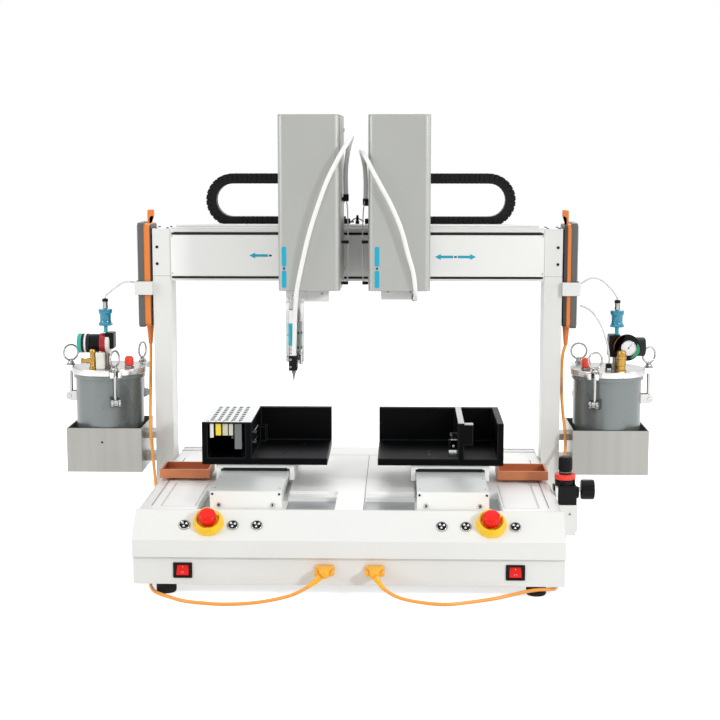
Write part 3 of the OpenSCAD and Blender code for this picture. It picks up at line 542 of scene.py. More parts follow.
copperRing = bareMetal("copperRing", (0.2, 0.06, 0.025), 0.25, stretch=(1, 1, 0.2), line=0.8, bump=0.04, rim=0.5)
copperTray = coated("copperTray", (0.56, 0.19, 0.08), 0.34, metallic=0.35, grain=0.5, bump=0.08, spread=0.1, edge=1.0)
orangePvc = coated("orangePvc", (0.9, 0.36, 0.05), 0.3, grain=0.8)
orangePlug = coated("orangePlug", (0.93, 0.44, 0.02), 0.32, grain=0.5, bump=0.08)
orangeShell = coated("orangeShell", (0.8, 0.22, 0.035), 0.4, grain=0.4, bump=0.12)
# the ribs of the pendants' backs get a painted highlight on their edges
pendantGrey = coated("pendantGrey", (0.1, 0.1, 0.1), 0.45, grain=0.4, bump=0.15, edge=2.0, edgeReach=1.0,
                     highlightGain=4)
pendantDark = coated("pendantDark", (0.03, 0.022, 0.02), 0.4, grain=0.4, bump=0.1)
guardYellow = coated("guardYellow", (0.98, 0.6, 0.01), 0.28, grain=0.7, bump=0.04)
stopRed = coated("stopRed", (0.85, 0.01, 0.005), 0.24, grain=1.0, bump=0.02, specular=0.25)
rockerRed = coated("rockerRed", (0.8, 0.014, 0.008), 0.24, grain=1.0, bump=0.02, specular=0.25)
reliefRed = coated("reliefRed", (0.85, 0.05, 0.02), 0.3, grain=0.5)
ringDark = coated("ringDark", (0.38, 0.006, 0.012), 0.3, bump=0.04)
ringRed = coated("ringRed", (0.85, 0.045, 0.015), 0.3, bump=0.04)
valveBlue = coated("valveBlue", (0.0, 0.23, 0.35), 0.16, bump=0.03, edge=0.9, sockets={"Coat Weight": 0.5})
valveTeal = coated("valveTeal", (0.01, 0.42, 0.5), 0.24, bump=0.04)
knobTeal = coated("knobTeal", (0.02, 0.42, 0.34), 0.3, grain=0.5, bump=0.06)
knobDark = coated("knobDark", (0.008, 0.011, 0.015), 0.35, grain=0.5, bump=0.08, edge=1.0, specular=0.25)
markBlue = coated("markBlue", (0.0, 0.37, 0.54), 0.45, grain=0.8, bump=0.02)
markDark = coated("markDark", (0.01, 0.04, 0.12), 0.5, grain=0.8, bump=0.02)
markWhite = coated("markWhite", (0.85, 0.3, 0.28), 0.5, grain=0.8, bump=0.02)
tubeWhite = coated("tubeWhite", (0.86, 0.86, 0.85), 0.3, grain=1.0, bump=0.02)
tubeClear = coated("tubeClear", (0.8, 0.81, 0.8), 0.25, grain=1.0, bump=0.02, sockets={"Transmission Weight": 0.1})
dialWhite = coated("dialWhite", (0.82, 0.83, 0.84), 0.35, bump=0.02)
dialGreen = coated("dialGreen", (0.01, 0.28, 0.12), 0.35, bump=0.02)
printBlack = coated("printBlack", (0.02, 0.02, 0.02), 0.5, bump=0.02)
padWhite = coated("padWhite", (0.8, 0.79, 0.72), 0.45, bump=0.08)
padYellow = coated("padYellow", (0.86, 0.66, 0.04), 0.4, bump=0.08)
padBeige = coated("padBeige", (0.6, 0.58, 0.46), 0.45, bump=0.08)
padGrey = coated("padGrey", (0.16, 0.17, 0.17), 0.5, bump=0.08)
print("materials:", len(bpy.data.materials))


# Cords: the routes are given points, the same as those of the CAD model

cableSet = {
    "radius": 2.9,
    "left": [(-396, 482, 352), (-396, 481, 330), (-395, 468, 290), (-393, 450, 248), (-390, 426, 196),
             (-380, 388, 150), (-366, 330, 105), (-358, 280, 60), (-355, 240, 22), (-351, 200, 5),
             (-344, 130, 3.2), (-333, 62, 3.2), (-326, 33, 3.2), (-314, 8, 3.2), (-290.5, -15, 3.2),
             (-263, -37, 3.2), (-230, -48, 3.2), (-191, -53, 3.2), (-143, -46, 4.5), (-99, -41, 12),
             (-74, -38, 21.5), (-54, -34, 34), (-44.3, -29.3, 42.5)],
    "right": [(396, 482, 352), (391, 480, 334), (389, 476, 300), (389, 470, 262), (391, 460, 224),
              (394, 446, 190), (392, 420, 158), (383, 380, 118), (370, 330, 70), (359, 285, 26),
              (350, 235, 5), (345, 160, 3.2), (345, 100, 3.2), (343, 55, 5.5), (336, 22, 10.5),
              (323, 7, 14), (306, 2.5, 14.4), (285, 0, 11.5), (262, -4, 7), (234, -14, 3.8),
              (196, -31, 3.2), (159, -44, 3.2), (122, -41, 4.5), (87, -41, 11), (63, -38, 22),
              (50, -33, 35), (45.3, -29.3, 42.5)],
}
feedSet = {
    "radius": 4,
    "left": [(-16, 345, 640), (-16.5, 341, 668), (-15, 326, 693), (-9.5, 296, 722), (-3, 262, 741),
             (-9.5, 243, 731), (-22, 236, 710.4), (-43, 234, 669.6), (-60, 234, 625), (-76, 236, 575),
             (-88.6, 238, 523), (-98, 241, 477), (-101.6, 247, 438), (-103.2, 253, 395), (-104.4, 255, 372),
             (-104.8, 255.2, 361)],
    "right": [(19, 345, 632), (19.5, 341, 660), (18.5, 326, 686), (15.6, 296, 706), (13.5, 268, 717),
              (22, 246, 705.5), (33, 238, 685), (45, 236, 663), (65.5, 236, 625), (83, 236, 584),
              (95, 238, 541), (104, 240, 509.6), (107.6, 243, 484), (109, 252, 466), (108, 265, 461.3),
              (107, 271, 461)],
}
potTubeSet = {
    "radius": 2,
    "a": [(489.5, 462, 440.2), (489.3, 462, 443), (487.6, 462, 447), (479, 463, 459), (462, 464, 475),
          (445, 465, 481), (432, 465, 477), (419, 466, 468)],
    "b": [(472.6, 438, 322.8), (472.7, 438.1, 326), (473.2, 438.8, 333), (470, 442, 356), (460.5, 446, 388),
          (445, 450, 414), (431, 455, 425.5), (419, 458, 430)],
    "c": [(-478, 462, 440.2), (-477.8, 462, 443), (-475.4, 462, 447), (-463, 463, 457), (-446, 464, 469),
          (-432, 465, 472), (-418, 466, 468)],
}


# cord: a round tube along the smooth line through its route
def makeCord(name, spec, key, finish, body, node, sides):
    shape = newShape()
    path = smoothLine(spec[key], 8)
    path[:, 2] = np.maximum(path[:, 2], spec["radius"] + 0.02)  # lies on the floor, not in it
    tube(shape, path, spec["radius"], sides, start=(0, 1, 0.2))
    return build(name, shape, [finish], body, (node,), angle=60, weighted=False), path


cables = {}
for side in ("left", "right"):
    cables[side] = makeCord(f"cable_{side}_run", cableSet, side, orangePvc, "frame", f"cable_{side}", 14)
for side in ("left", "right"):
    piece, path = makeCord(f"feed_tube_{side}_run", feedSet, side, tubeWhite, None, f"feed_tube_{side}", 16)
    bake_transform(piece)
for key in ("a", "b", "c"):
    piece, path = makeCord(f"pot_tube_{key}_run", potTubeSet, key, tubeClear, "frame", f"pot_tube_{key}", 12)
print("cords laid")


# Plugs: a hood lofted from the flange to the cable, thumb screws at its sides and a tapered boot

plugSet = {"x": {"left": -38, "right": 43}, "width": 31, "height": 18, "middleZ": 45.5, "boot": 26,
           "screwR": 3.9, "screwOut": 12.2}


# stations of a rounded box that shrinks and rounds off towards the cable
def hoodSurface(x, spec):
    steps = [(-1.6, 1.0, 1.0, 3), (-4, 1.0, 1.0, 3.5), (-6, 0.82, 0.9, 4), (-13, 0.66, 0.95, 5),
             (-22, 0.56, 0.92, 6), (-27, 0.48, 0.8, 6), (-29.2, 0.36, 0.6, 5), (-30, 0.2, 0.36, 3)]
    rows = []
    for y, w, h, r in steps:
        outline = roundRect(spec["width"] * w, spec["height"] * h, r, 5) + [x, spec["middleZ"]]
        rows.append(np.stack([outline[:, 0], np.full(len(outline), y), outline[:, 1]], -1))
    return np.array(rows)


# grip of a thumb screw: a circle with square ripples
a = evenAngles(36)
gripOutline = polar(plugSet["screwR"] * (1 + 0.05 * np.sign(np.sin(a * 12))), a)
for side, x in plugSet["x"].items():
    z = plugSet["middleZ"]
    shape = newShape()
    addGrid(shape, hoodSurface(x, plugSet))
    for screwX in (x - plugSet["screwOut"], x + plugSet["screwOut"]):
        drawn(shape, gripOutline, -23, -6.5, "y", (screwX, z), 0.6)
        turned(shape, [(1.5, 0), (1.5, 5)], (screwX, -6.6, z), "y", 16)
    backwards = cables[side][1][::-1]
    along = np.cumsum(np.linalg.norm(np.diff(backwards, axis=0), axis=1))
    count = int(np.searchsorted(along, plugSet["boot"])) + 1
    share = np.linspace(0, 1, count)
    ribs = 0.35 * np.abs(np.sin(share * np.pi * 6))
    tube(shape, backwards[:count], 6.0 - 2.6 * share ** 0.8 + ribs * (1 - share), 16, start=(1, 0, 0.1))
    block(shape, (x - 8.5, -2, 40.5), (x + 8.5, 1.8, 50.5), 0.8, finish=1)
    build(f"plug_{side}", shape, [orangePlug, polishedSteel], "frame")
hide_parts("cable_plugs")
print("plugs made")


# Feet

footSet = {"places": [(-300, 26), (306, 26), (-300, 535), (306, 535)], "radius": 16.5, "height": 20}
shape = newShape()
for x, y in footSet["places"]:
    r, h = footSet["radius"], footSet["height"]
    turned(shape, [(r - 3, 0), (r - 1.5, 0.4), (r - 0.4, 2), (r, 4.5), (r, h - 3), (r - 1.6, h - 0.8), (r - 4, h)],
           (x, y, 0), sides=40)
    turned(shape, [(6, -0.0), (6, 0.3), (5.2, 1.6), (0.1, 1.6)], (x, y, 0.02), sides=24, finish=1)
build("feet", shape, [rubberBlack, polishedSteel], "frame", ("rubber_feet",))


# Button panel: the slope runs from the lip up to the deck

panelSet = {"buttons": [-267, -188, -149, 151, 190, 270], "stops": {"left": -228, "right": 231}, "stopUp": 4,
            "rockers": {"left": -269, "right": 270}, "rockerZ": 43.5, "slopeY": 13, "slopeZ": 115.25,
            "slopeTurn": math.degrees(math.atan2(40.5, 42))}


# a shape laid on the slope, its own Z pointing out of the panel
def onSlope(source, x, up=0):
    turn = math.radians(panelSet["slopeTurn"])
    return moved(source, (panelSet["slopeTurn"], 0, 0),
                 (x, panelSet["slopeY"] + up * math.cos(turn), panelSet["slopeZ"] + up * math.sin(turn)))


ring = newShape()
turned(ring, [(9.3, 0), (9.3, 1.2), (8.8, 2.0), (8.1, 2.4), (7.5, 2.2), (7.1, 1.5), (7.0, -4), (7.9, -4),
              (7.9, -0.2)], sides=40, ring=True)
bezel = newShape()
opening = roundRect(20.4, 19.2, 0.6)
drawnRing(bezel, roundRect(31, 25.6, 1.6), opening, 0, 2.2, finish=1, edge=0.6)
drawnRing(bezel, roundRect(26.6, 20.8, 1), opening, -12, 0.1, finish=1, edge=0.1)
socket = newShape()
outer, inner = (rounded(boxCorners(-w, -h, w, h), 1.2) for w, h in ((15.5, 6.5), (8.8, 5.3)))
drawnRing(socket, outer, inner, 0, 1.6)
fittings = newShape()
for x in panelSet["buttons"]:
    addShape(fittings, onSlope(ring, x))
for x in panelSet["rockers"].values():
    addShape(fittings, bezel, (90, 0, 0), (x, 0, panelSet["rockerZ"]))
for x in plugSet["x"].values():
    addShape(fittings, socket, (90, 0, 0), (x, 0, plugSet["middleZ"]))
build("panel_rings", fittings, [polishedSteel, glossBlack], "frame", ("panel_fittings",))

# cap of a push button: a dished disc with three bright fields
cap = newShape()
turned(cap, [(6.6, -8), (6.6, 2.4), (6.2, 3.1), (5.4, 3.4), (4.9, 3.2), (4.6, 2.7), (3.4, 2.4), (1.6, 2.3),
             (0.05, 2.3)], sides=36)
field = newShape()
drawn(field, rounded([(1.4, -0.5), (5.2, -2.6), (5.9, 0), (5.2, 2.6), (1.4, 0.5)], 0.4, 2), 2.2, 3.35,
      edge=0.2, steps=1, finish=1)
for turn in (20, 140, 260):
    addShape(cap, field, (0, 0, turn))
for number, x in enumerate(panelSet["buttons"], 1):
    build(f"button_{number}_cap", onSlope(cap, x), [glossBlack, aluminium], f"push_{number}", (f"button_{number}",))


# guard of a stop button: a turned cup, its wall cut down on one stretch for the hand to reach in; the
# cut is a smooth step of the angle from that stretch's middle
def guardSurface(sides=96):
    profile = np.array([(25, 0), (25, 2.9), (24.6, 3.7), (24.0, 4.0), (23.7, 5.0), (21.9, 12.4), (21.4, 14.2),
                        (20.6, 15.0), (19.2, 15.0), (18.1, 14.4), (17.7, 13.2), (16.6, 3.4), (16.2, 3.0),
                        (8.8, 3.0), (8.8, 0)])
    a = evenAngles(sides)
    off = np.abs((a - math.radians(55) + np.pi) % (2 * np.pi) - np.pi)
    cutDown = 1 / (1 + np.exp((off - 0.44) / 0.022))
    low = 4.0
    height = np.where(profile[:, 1:] > low, low + (profile[:, 1:] - low) * (1 - 0.86 * cutDown), profile[:, 1:])
    return np.stack([profile[:, :1] * np.cos(a), profile[:, :1] * np.sin(a), height], -1)


cup = newShape()
addGrid(cup, guardSurface(), wrapRows=True)
turned(cup, [(10.9, -15), (10.9, 0.2), (8.9, 0.2), (8.9, -15)], sides=32, finish=1, ring=True)
shape = newShape()
for x in panelSet["stops"].values():
    addShape(shape, onSlope(cup, x, panelSet["stopUp"]))
build("stop_guards", shape, [guardYellow, satinBlack], "frame", ("estop_guards",))

mushroom = newShape()
turned(mushroom, [(8.2, -7), (8.2, 11.2), (9.2, 11.8), (12.4, 12.1), (13.6, 12.9), (14, 14.4), (14, 22.4),
                  (13.6, 24.4), (12.6, 26), (11, 27.1), (8.6, 27.8), (5, 28), (0.1, 28)], sides=56)
for side, x in panelSet["stops"].items():
    build(f"stop_{side}_mushroom", onSlope(mushroom, x, panelSet["stopUp"]), [stopRed], f"stop_{side}",
          (f"estop_cap_{side}",))

# rocker: a shallow V of two faces drawn out along X, tilted as it is when off, with a bar and a ring
rocker = newShape()
drawn(rocker, rounded([(3, -8.6), (3, 8.6), (-3.2, 8.6), (-4.7, 0), (-6.6, -8.6)], [0.5, 0.5, 1.2, 6, 0.8], 5),
      -9.9, 9.9, "x", (0, 0), 0.5, 3)
bar, ring = newShape(), newShape()
drawn(bar, roundRect(1.1, 5, 0.4), 0, 0.25, finish=1, edge=0.05)
addShape(rocker, bar, (90 + 9.5, 0, 0), (0, -3.95, 4.6))
drawnRing(ring, circle(2.6, 24), circle(1.7, 24), 0, 0.25, finish=1, edge=0.05)
addShape(rocker, ring, (90 + 12, 0, 0), (0, -5.75, -4.6))
for side, x in panelSet["rockers"].items():
    build(f"rocker_{side}_red", moved(rocker, (-7, 0, 0), (x, 3, panelSet["rockerZ"])), [rockerRed, markWhite],
          f"switch_{side}", (f"rocker_{side}",))
print("front panel made")


# Heads: a cover bent from one sheet, with screws, a stripe and the fittings of its tubes

headSet = {"x": {"left": -77, "right": 80}, "width": 108, "front": 250, "back": 430, "low": 475, "high": 780,
           "corner": 10, "wall": 2.5, "elbowZ": {"left": 640, "right": 632}, "elbowY": 345,
           "stripeX": {"left": -120.7, "right": 41.3}, "stripeZ": (480.5, 552.5)}


# outline of the bent sheet: an outer U with quarter circles at its front corners, and the same U
# moved in by the wall, run back the other way
def headWall(spec):
    w, corner = spec["width"] / 2, spec["corner"]
    a = np.linspace(0, np.pi / 2, 9)

    def half(w, front, corner):
        arc = np.stack([w - corner + corner * np.cos(-a), front + corner - corner * np.sin(a)], -1)
        return np.concatenate([[(w, spec["back"])], arc])
    outer = half(w, spec["front"], corner)
    inner = half(w - spec["wall"], spec["front"] + spec["wall"], corner - spec["wall"])
    left = [-1, 1]
    return np.concatenate([outer, outer[::-1] * left, inner * left, inner[::-1]])


# outline of the top: a rectangle with large arcs at the front and small ones at the back
def headTop(spec):
    w = spec["width"] / 2
    return rounded(boxCorners(-w, spec["front"], w, spec["back"]), [spec["corner"], spec["corner"], 0.6, 0.6], 8)


cover = newShape()
face = headSet["width"] / 2
drawn(cover, headWall(headSet), headSet["low"], headSet["high"] - 1, edge=0.5)
drawn(cover, headTop(headSet), headSet["high"] - 2.6, headSet["high"], edge=0.9, steps=3)
for z in (500, 625, 755):
    sideScrew = newShape()
    addScrews(sideScrew, 3.4, 1.6, [(face - 0.05, 418, z)], "right", 1, 2)
    addShape(cover, sideScrew, mirrorX=True)
    addShape(cover, sideScrew)
addScrews(cover, 3.2, 1.4, [(x, y, headSet["high"] - 1.5) for y in (292, 400) for x in (-40, 40)], "up", 1, 2)


# elbow of the feed tube at height z, with the fittings of the thin air line below it
def headFittings(z):
    elbow = newShape()
    elbowY = headSet["elbowY"]
    turned(elbow, [(3.6, 0), (3.6, 2), (4.6, 2.6), (4.6, 9), (3.8, 10.6)], (0, elbowY, z - 8), "x", 24)
    turned(elbow, [(3.4, -12.4), (4.6, -11.6), (5, -10), (5, -1.4), (4.7, -0.8), (4.7, 0.6), (4.1, 0.6)],
           (7, elbowY, z), sides=28)
    turned(elbow, [(5.4, -0.9), (5.4, 0.1), (4.2, 0.1), (4.2, -0.9)], (7, elbowY, z), sides=28, finish=1, ring=True)
    for lowZ, reach in ((557, 13), (484, 12)):
        turned(elbow, [(3.0, 0), (3.0, 1.4), (2.4, 1.6), (2.4, 3), (3.1, 3.2), (3.1, reach - 1.6),
                       (2.6, reach - 0.9), (2.6, reach)], (0, 312, lowZ), "x", 20)
    tube(elbow, [(10, 312, 484), (11.2, 312, 500), (11.8, 313, 540), (11.6, 316, 580), (10.5, 326, 612),
                 (8.5, 338, 628)], 1.0, 8, finish=2)
    return elbow


for side, x in headSet["x"].items():
    inner = 1 if side == "left" else -1
    build(f"head_{side}_cover", moved(cover, move=(x, 0, 0)), [headSilver, polishedSteel, satinBlack],
          f"head_{side}", (f"head_cover_{side}",), angle=50)
    fittings = moved(headFittings(headSet["elbowZ"][side]), move=(x + inner * face, 0, 0), mirrorX=inner < 0)
    build(f"head_{side}_fittings", fittings, [satinBlack, padGrey, tubeClear], f"head_{side}")

    # stripe in two lengths, with a dark spot in the gap
    stripe = newShape()
    low, high = headSet["stripeZ"]
    middle = low + (high - low) * 0.47
    for width, a, b, radius, steps, finish in ((8.2, low, middle - 3.4, 3, 5, 0), (8.2, middle + 3.4, high, 3, 5, 0),
                                               (4.2, middle - 1.8, middle + 1.8, 0.6, 4, 1)):
        drawn(stripe, roundRect(width, b - a, radius, steps), headSet["front"] - 0.25, headSet["front"] + 0.2, "y",
              (headSet["stripeX"][side], (a + b) / 2), 0.08, finish=finish)
    build(f"head_{side}_stripe", stripe, [markBlue, markDark], f"head_{side}")
    print("head", side)


# Drag chains: links set end to end along two runs and a half circle

chainSet = {"left": (-24, -236, -104), "right": (24, 248, 107), "y": (484, 510), "low": 575, "height": 19,
            "high": 656, "pitch": 9.2}


# middle line of a chain: lower run, half circle and upper run, by the length along it
def chainLine(fixedX, bendX, movingX, spec):
    low = spec["low"] + spec["height"] / 2
    high = spec["high"] + spec["height"] / 2
    radius = (high - low) / 2
    way = np.sign(bendX)
    first, last = abs(bendX - fixedX), abs(bendX - movingX)
    total = first + np.pi * radius + last
    count = int(total / spec["pitch"])
    s = np.linspace(0, total, count + 1)
    a = np.clip((s - first) / radius, 0, np.pi)
    x = np.where(s < first, fixedX + way * s, bendX + way * radius * np.sin(a))
    x = np.where(s > first + np.pi * radius, bendX - way * (s - first - np.pi * radius), x)
    z = low + radius * (1 - np.cos(a))
    return np.stack([x, z], -1)


# one link: crimped side plates in pairs, a pin at the joint and a bar with two grooves above and below
def chainLink(length, spec, odd):
    link = newShape()
    half = spec["height"] / 2
    wide = (spec["y"][1] - spec["y"][0]) / 2
    wideOut = wide - (0.0 if odd else 0.25)
    barLength, barMiddle = length * 0.8, length * 0.42
    rear = rounded(boxCorners(-1.5, -half, barLength, half), [1, 0.8, 0.8, 1], 2)
    low, high, tip = length * 0.3, half - 1.2, length + 3.4
    front = rounded(boxCorners(low, -high, tip, high), [0.8, 5.2, 5.2, 0.8], 4)
    for way in (-1, 1):
        for plate, outer, thick, edge in ((rear, wideOut, 2.0, 0.5), (front, wideOut - 1.9, 1.7, 0.4)):
            lowY, highY = sorted((way * outer, way * (outer - thick)))
            drawn(link, plate, lowY, highY, "y", (0, 0), edge, 1)
        lowY, highY = sorted((way * (wideOut - 0.1), way * (wideOut - 1.2)))
        turned(link, [(2.6, lowY), (2.6, highY)], (length * 0.26, 0, 0), "y", 14)
    for way in (-1, 1):
        lowZ, highZ = sorted((way * half * 0.995, way * (half - 1.9)))
        drawn(link, roundRect(barLength, 2 * wide - 3, 1.0, 2), lowZ, highZ, "z", (barMiddle, 0), 0.45, 1)
        for out in (-1, 1):
            drawn(link, roundRect(1.4, 5, 0.4, 1), lowZ - 0.12, highZ + 0.12, "z", (barMiddle, out * (wide - 5)),
                  0.1, 1)
    return link


for side in ("left", "right"):
    line = chainLine(*chainSet[side], chainSet)
    chain = newShape()
    steps = np.diff(line, axis=0)
    middleY = sum(chainSet["y"]) / 2
    for number, (start, step) in enumerate(zip(line[:-1], steps)):
        length = float(np.hypot(*step))
        tilt = -math.degrees(math.atan2(step[1], step[0]))
        addShape(chain, chainLink(length, chainSet, number % 2), (0, tilt, 0), (start[0], middleY, start[1]))
    piece = build(f"chain_{side}", chain, [chainBlack], None, (f"drag_chain_{side}",), angle=40)
    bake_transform(piece)
    print("chain", side, len(steps), "links")

# clamps on the beam between the two chains, with short wire stubs
ends = newShape()
for x in (-19, 19):
    block(ends, (x - 6.5, 486, 575.1), (x + 6.5, 508, 579), 0.6)
    block(ends, (x - 5, 488, 578), (x + 5, 506, 590), 1.2)
    for y in (491.5, 497, 502.5):
        turned(ends, [(1.7, 0), (1.7, 11)], (x + (1 if x < 0 else -2), y, 584), "x", 12, finish=1)
block(ends, (-3.8, 492, 575.1), (3.2, 502, 586), 1.0)
turned(ends, [(2.6, 585), (2.6, 594), (1.8, 596.5), (0.1, 596.5)], (-0.3, 497, 0), sides=16)
tube(ends, smoothLine([(-12, 497, 584), (-8, 497, 588), (-3, 497, 590), (4, 497, 589), (12, 497, 584)], 6), 1.2, 8,
     finish=1)
build("chain_ends", ends, [satinBlack, padGrey], "frame")


# Valve under the left head: block, threaded rod, cylinder, collar, air cylinder and needle

valveSet = {"block": ((-113.6, 264, 416), (-99, 284, 440)), "rod": (-106.8, 270, 439.8, 468, 1.8),
            "cylinder": (-110, 268, 377, 416.2, 5.6), "stem": (-109, 268, 360, 377.2, 4),
            "collar": ((-113.6, 249, 334), (-98.8, 284, 360.8)), "air": (-94.6, 264, 372, 420, 3.6),
            "needle": (-105.9, 267, 314, 334)}
shape = newShape()
block(shape, *valveSet["block"], 0.8)
x, y, low, high, r = valveSet["rod"]
turns = np.linspace(low, high, 96)
turned(shape, np.stack([r * (1 - 0.13 * (np.arange(96) % 2)), turns], -1), (x, y, 0), sides=14, finish=1)
x, y, low, high, r = valveSet["cylinder"]
turned(shape, [(r - 0.8, low), (r, low + 0.8), (r, low + 4), (r - 0.5, low + 4.4), (r - 0.5, high - 6),
               (r, high - 5.6), (r, high - 0.8), (r - 0.8, high)], (x, y, 0), sides=36, finish=2)
x, y, low, high, r = valveSet["stem"]
turned(shape, [(r, low), (r, high)], (x, y, 0), sides=6, finish=3)
turned(shape, [(r + 0.9, low + 4), (r + 0.9, low + 8), (r - 0.2, low + 8.4), (r - 0.2, low + 4)], (x, y, 0),
       sides=28, finish=1, ring=True)
block(shape, *valveSet["collar"], 1.4, finish=4, steps=3)
low, high = valveSet["collar"]
addScrews(shape, 1.9, 1.2, [(low[0] + 3.2, low[1] + 0.1, z) for z in (341, 354)], "front", 1, 4)
x, y, low, high, r = valveSet["air"]
turned(shape, [(r - 0.6, low), (r, low + 0.6), (r, low + 5), (r - 0.3, low + 5.3), (r - 0.3, high - 5.3),
               (r, high - 5), (r, high - 0.6), (r - 0.6, high)], (x, y, 0), sides=28, finish=5)
turned(shape, [(1.2, high - 0.2), (1.2, high + 3)], (x, y, 0), sides=16, finish=1)
for z in (372, 398):
    block(shape, (-99, 261, z), (-91, 272.2, z + 4), 0.7, finish=4)
turned(shape, [(2.2, 344), (3.2, 345), (3.2, 350), (2.7, 350.4), (2.7, 360), (3.2, 360.4), (3.2, 366), (2.4, 368)],
       (-92.6, 264, 0), sides=24, finish=1)
block(shape, (-99, 262, 346), (-92, 270, 352), 0.6, finish=1)
for low, high in (((-117.6, 276, 362), (-113.9, 285, 460)), ((-93.2, 276, 424), (-88.6, 285, 460))):
    block(shape, low, high, 0.5, finish=6)
block(shape, (-112.6, 250, 360.7), (-99.8, 283, 362.6), 0.6, finish=6)
build("valve", shape, [aluminium, polishedSteel, valveTeal, carriageGrey, satinBlack, potGrey, coverGrey], "z_left",
      ("valve_body",))

x, y, low, high = valveSet["needle"]
shape = newShape()
turned(shape, [(2.4, high), (3.2, high - 0.4), (3.2, high - 3), (2.5, high - 3.4), (2.5, high - 8.0),
               (1.7, low + 8), (1.1, low + 3), (0.8, low), (0.45, low), (0.45, low + 4)], (x, y, 0), sides=24)
a = evenAngles(24)
wings = np.stack([3.2 * (1 + 0.22 * np.cos(2 * a)) * np.cos(a), 2.6 * np.sin(a)], -1)
drawn(shape, wings, high - 6.5, high - 3.2, "z", (x, y), 0.3)
build("needle_tip", shape, [needleSteel], "z_left", ("needle",))

# plates of the slides: screws in the CAD's holes, and the right tube's fitting
for side, heights in (("left", (466, 496)), ("right", (470, 500))):
    shape = newShape()
    addScrews(shape, 2.4, 2.2, [(headSet["x"][side] + dx, 296.4, z) for dx in (-20, 20) for z in heights])
    if side == "left":
        addScrews(shape, 2.0, 1.6, [(-107.9, 284.1, 459)], finish=1)
        addScrews(shape, 1.6, 1.2, [(-117, 272.1, 357), (-117, 272.1, 395)])
    else:
        turned(shape, [(5.5, 271.9), (5.5, 274), (4.9, 274.4), (4.9, 282), (5.5, 282.4), (5.5, 286), (4.6, 286.4),
                       (4.6, 296)], (107, 0, 461), "y", 28, finish=1)
    build(f"slide_screws_{side}", shape, [coverGrey, satinBlack], f"z_{side}")
print("valve made")


# Pendants: an orange shell between a dark front and a ribbed grey back

pendantSet = {"seam": {-1: 388.6, 1: 392.6}, "front": 386.4, "shell": 401, "grey": (400, 413), "y": (447, 523),
              "z": (388, 582), "ribs": 46, "boot": (396, 482)}


# ribbed back: the outer face follows a row of small steps along the height
def ribbedFace(target, spec, finish):
    lowX, highX = spec["grey"]
    lowY, highY = spec["y"][0] - 1.5, spec["y"][1] + 1.5
    lowZ, highZ = spec["z"][0] - 1, spec["z"][1] + 2
    drawn(target, rounded(boxCorners(lowY, lowZ, highY, highZ), 6, 5), lowX, highX - 1.6, "x", (0, 0), 1.2, 2, finish)
    step = (highZ - lowZ - 10) / spec["ribs"]
    for i in range(spec["ribs"]):
        z = lowZ + 5 + (i + 0.5) * step
        drawn(target, roundRect(highY - lowY - 9, step * 0.55, step * 0.25, 2), highX - 2.2, highX, "x",
              ((lowY + highY) / 2, z), 0.5, 1, finish)


lowY, highY = pendantSet["y"]
lowZ, highZ = pendantSet["z"]
slab = rounded(boxCorners(lowY, lowZ, highY, highZ), 9, 6)
hookLine = rounded([(9.2, 572), (9.2, 607), (-2.2, 607), (-2.2, 594.2), (1.6, 594.2), (4.4, 591), (4.4, 572)],
                   [1.5, 2.4, 1.8, 0.8, 1.2, 1.6, 1.0], 4)
half = newShape()
ribbedFace(half, pendantSet, 2)
drawn(half, hookLine, 478, 492, "y", (388, 0), 1.0)
share = np.linspace(0, 1, 15)
bootR = 7.2 - 3.6 * share ** 0.8 + 0.4 * (np.arange(15) % 2) * (share > 0.3)
bootR[-1] = 3.4
turned(half, np.stack([bootR, 390 - 38 * share], -1), (*pendantSet["boot"], 0), sides=28)
turned(half, [(2.6, 352.6), (3.3, 352.6), (3.3, 352.0), (2.6, 352.0)], (*pendantSet["boot"], 0), sides=24, ring=True)
shape = newShape()
for way, seam in pendantSet["seam"].items():
    body = newShape()
    drawn(body, slab, seam, pendantSet["shell"], "x", (0, 0), 2.0, 3, 0)
    drawn(body, inset(slab, 1.6), pendantSet["front"], seam + 1, "x", (0, 0), 1.0, 3, 1)
    addShape(body, half)
    addShape(shape, body, mirrorX=way < 0)
build("pendant_shells", shape, [orangeShell, pendantDark, pendantGrey], "frame", ("pendants",))

half = newShape()
for z in (452.5, 470.5):
    drawn(half, roundRect(82, 1.4, 0.6), 384.2, 386.2, "x", (485, z), 0.3, 1, 0)
build("holder_strips", bothSides(half), [polishedSteel], "frame")
print("pendants made")


# Pressure pots: vessel, lid with slotted lugs, swing bolts with ring nuts

potSet = {"x": 476, "y": 481, "radius": 64, "low": 117, "high": 297, "lid": 309, "turn": {-1: 48, 1: 6},
          "boltR": 80, "lugR": 95, "ringR": 15, "ringZ": 332, "ringTurn": (25, 50, -40)}


# lug: a tongue with a slot open at its outer end
def lugOutline(root, boltR, tip):
    half = rounded([(root, -11), (tip, -11), (tip, -3.6), (boltR, -3.6)], [0.5, 3.5, 1.6, 0.2], 4)
    a = np.linspace(-np.pi / 2, -3 * np.pi / 2, 9)
    bottom = polar(3.6, a) + [boltR, 0]
    return np.concatenate([half, bottom, (half * [1, -1])[::-1]])


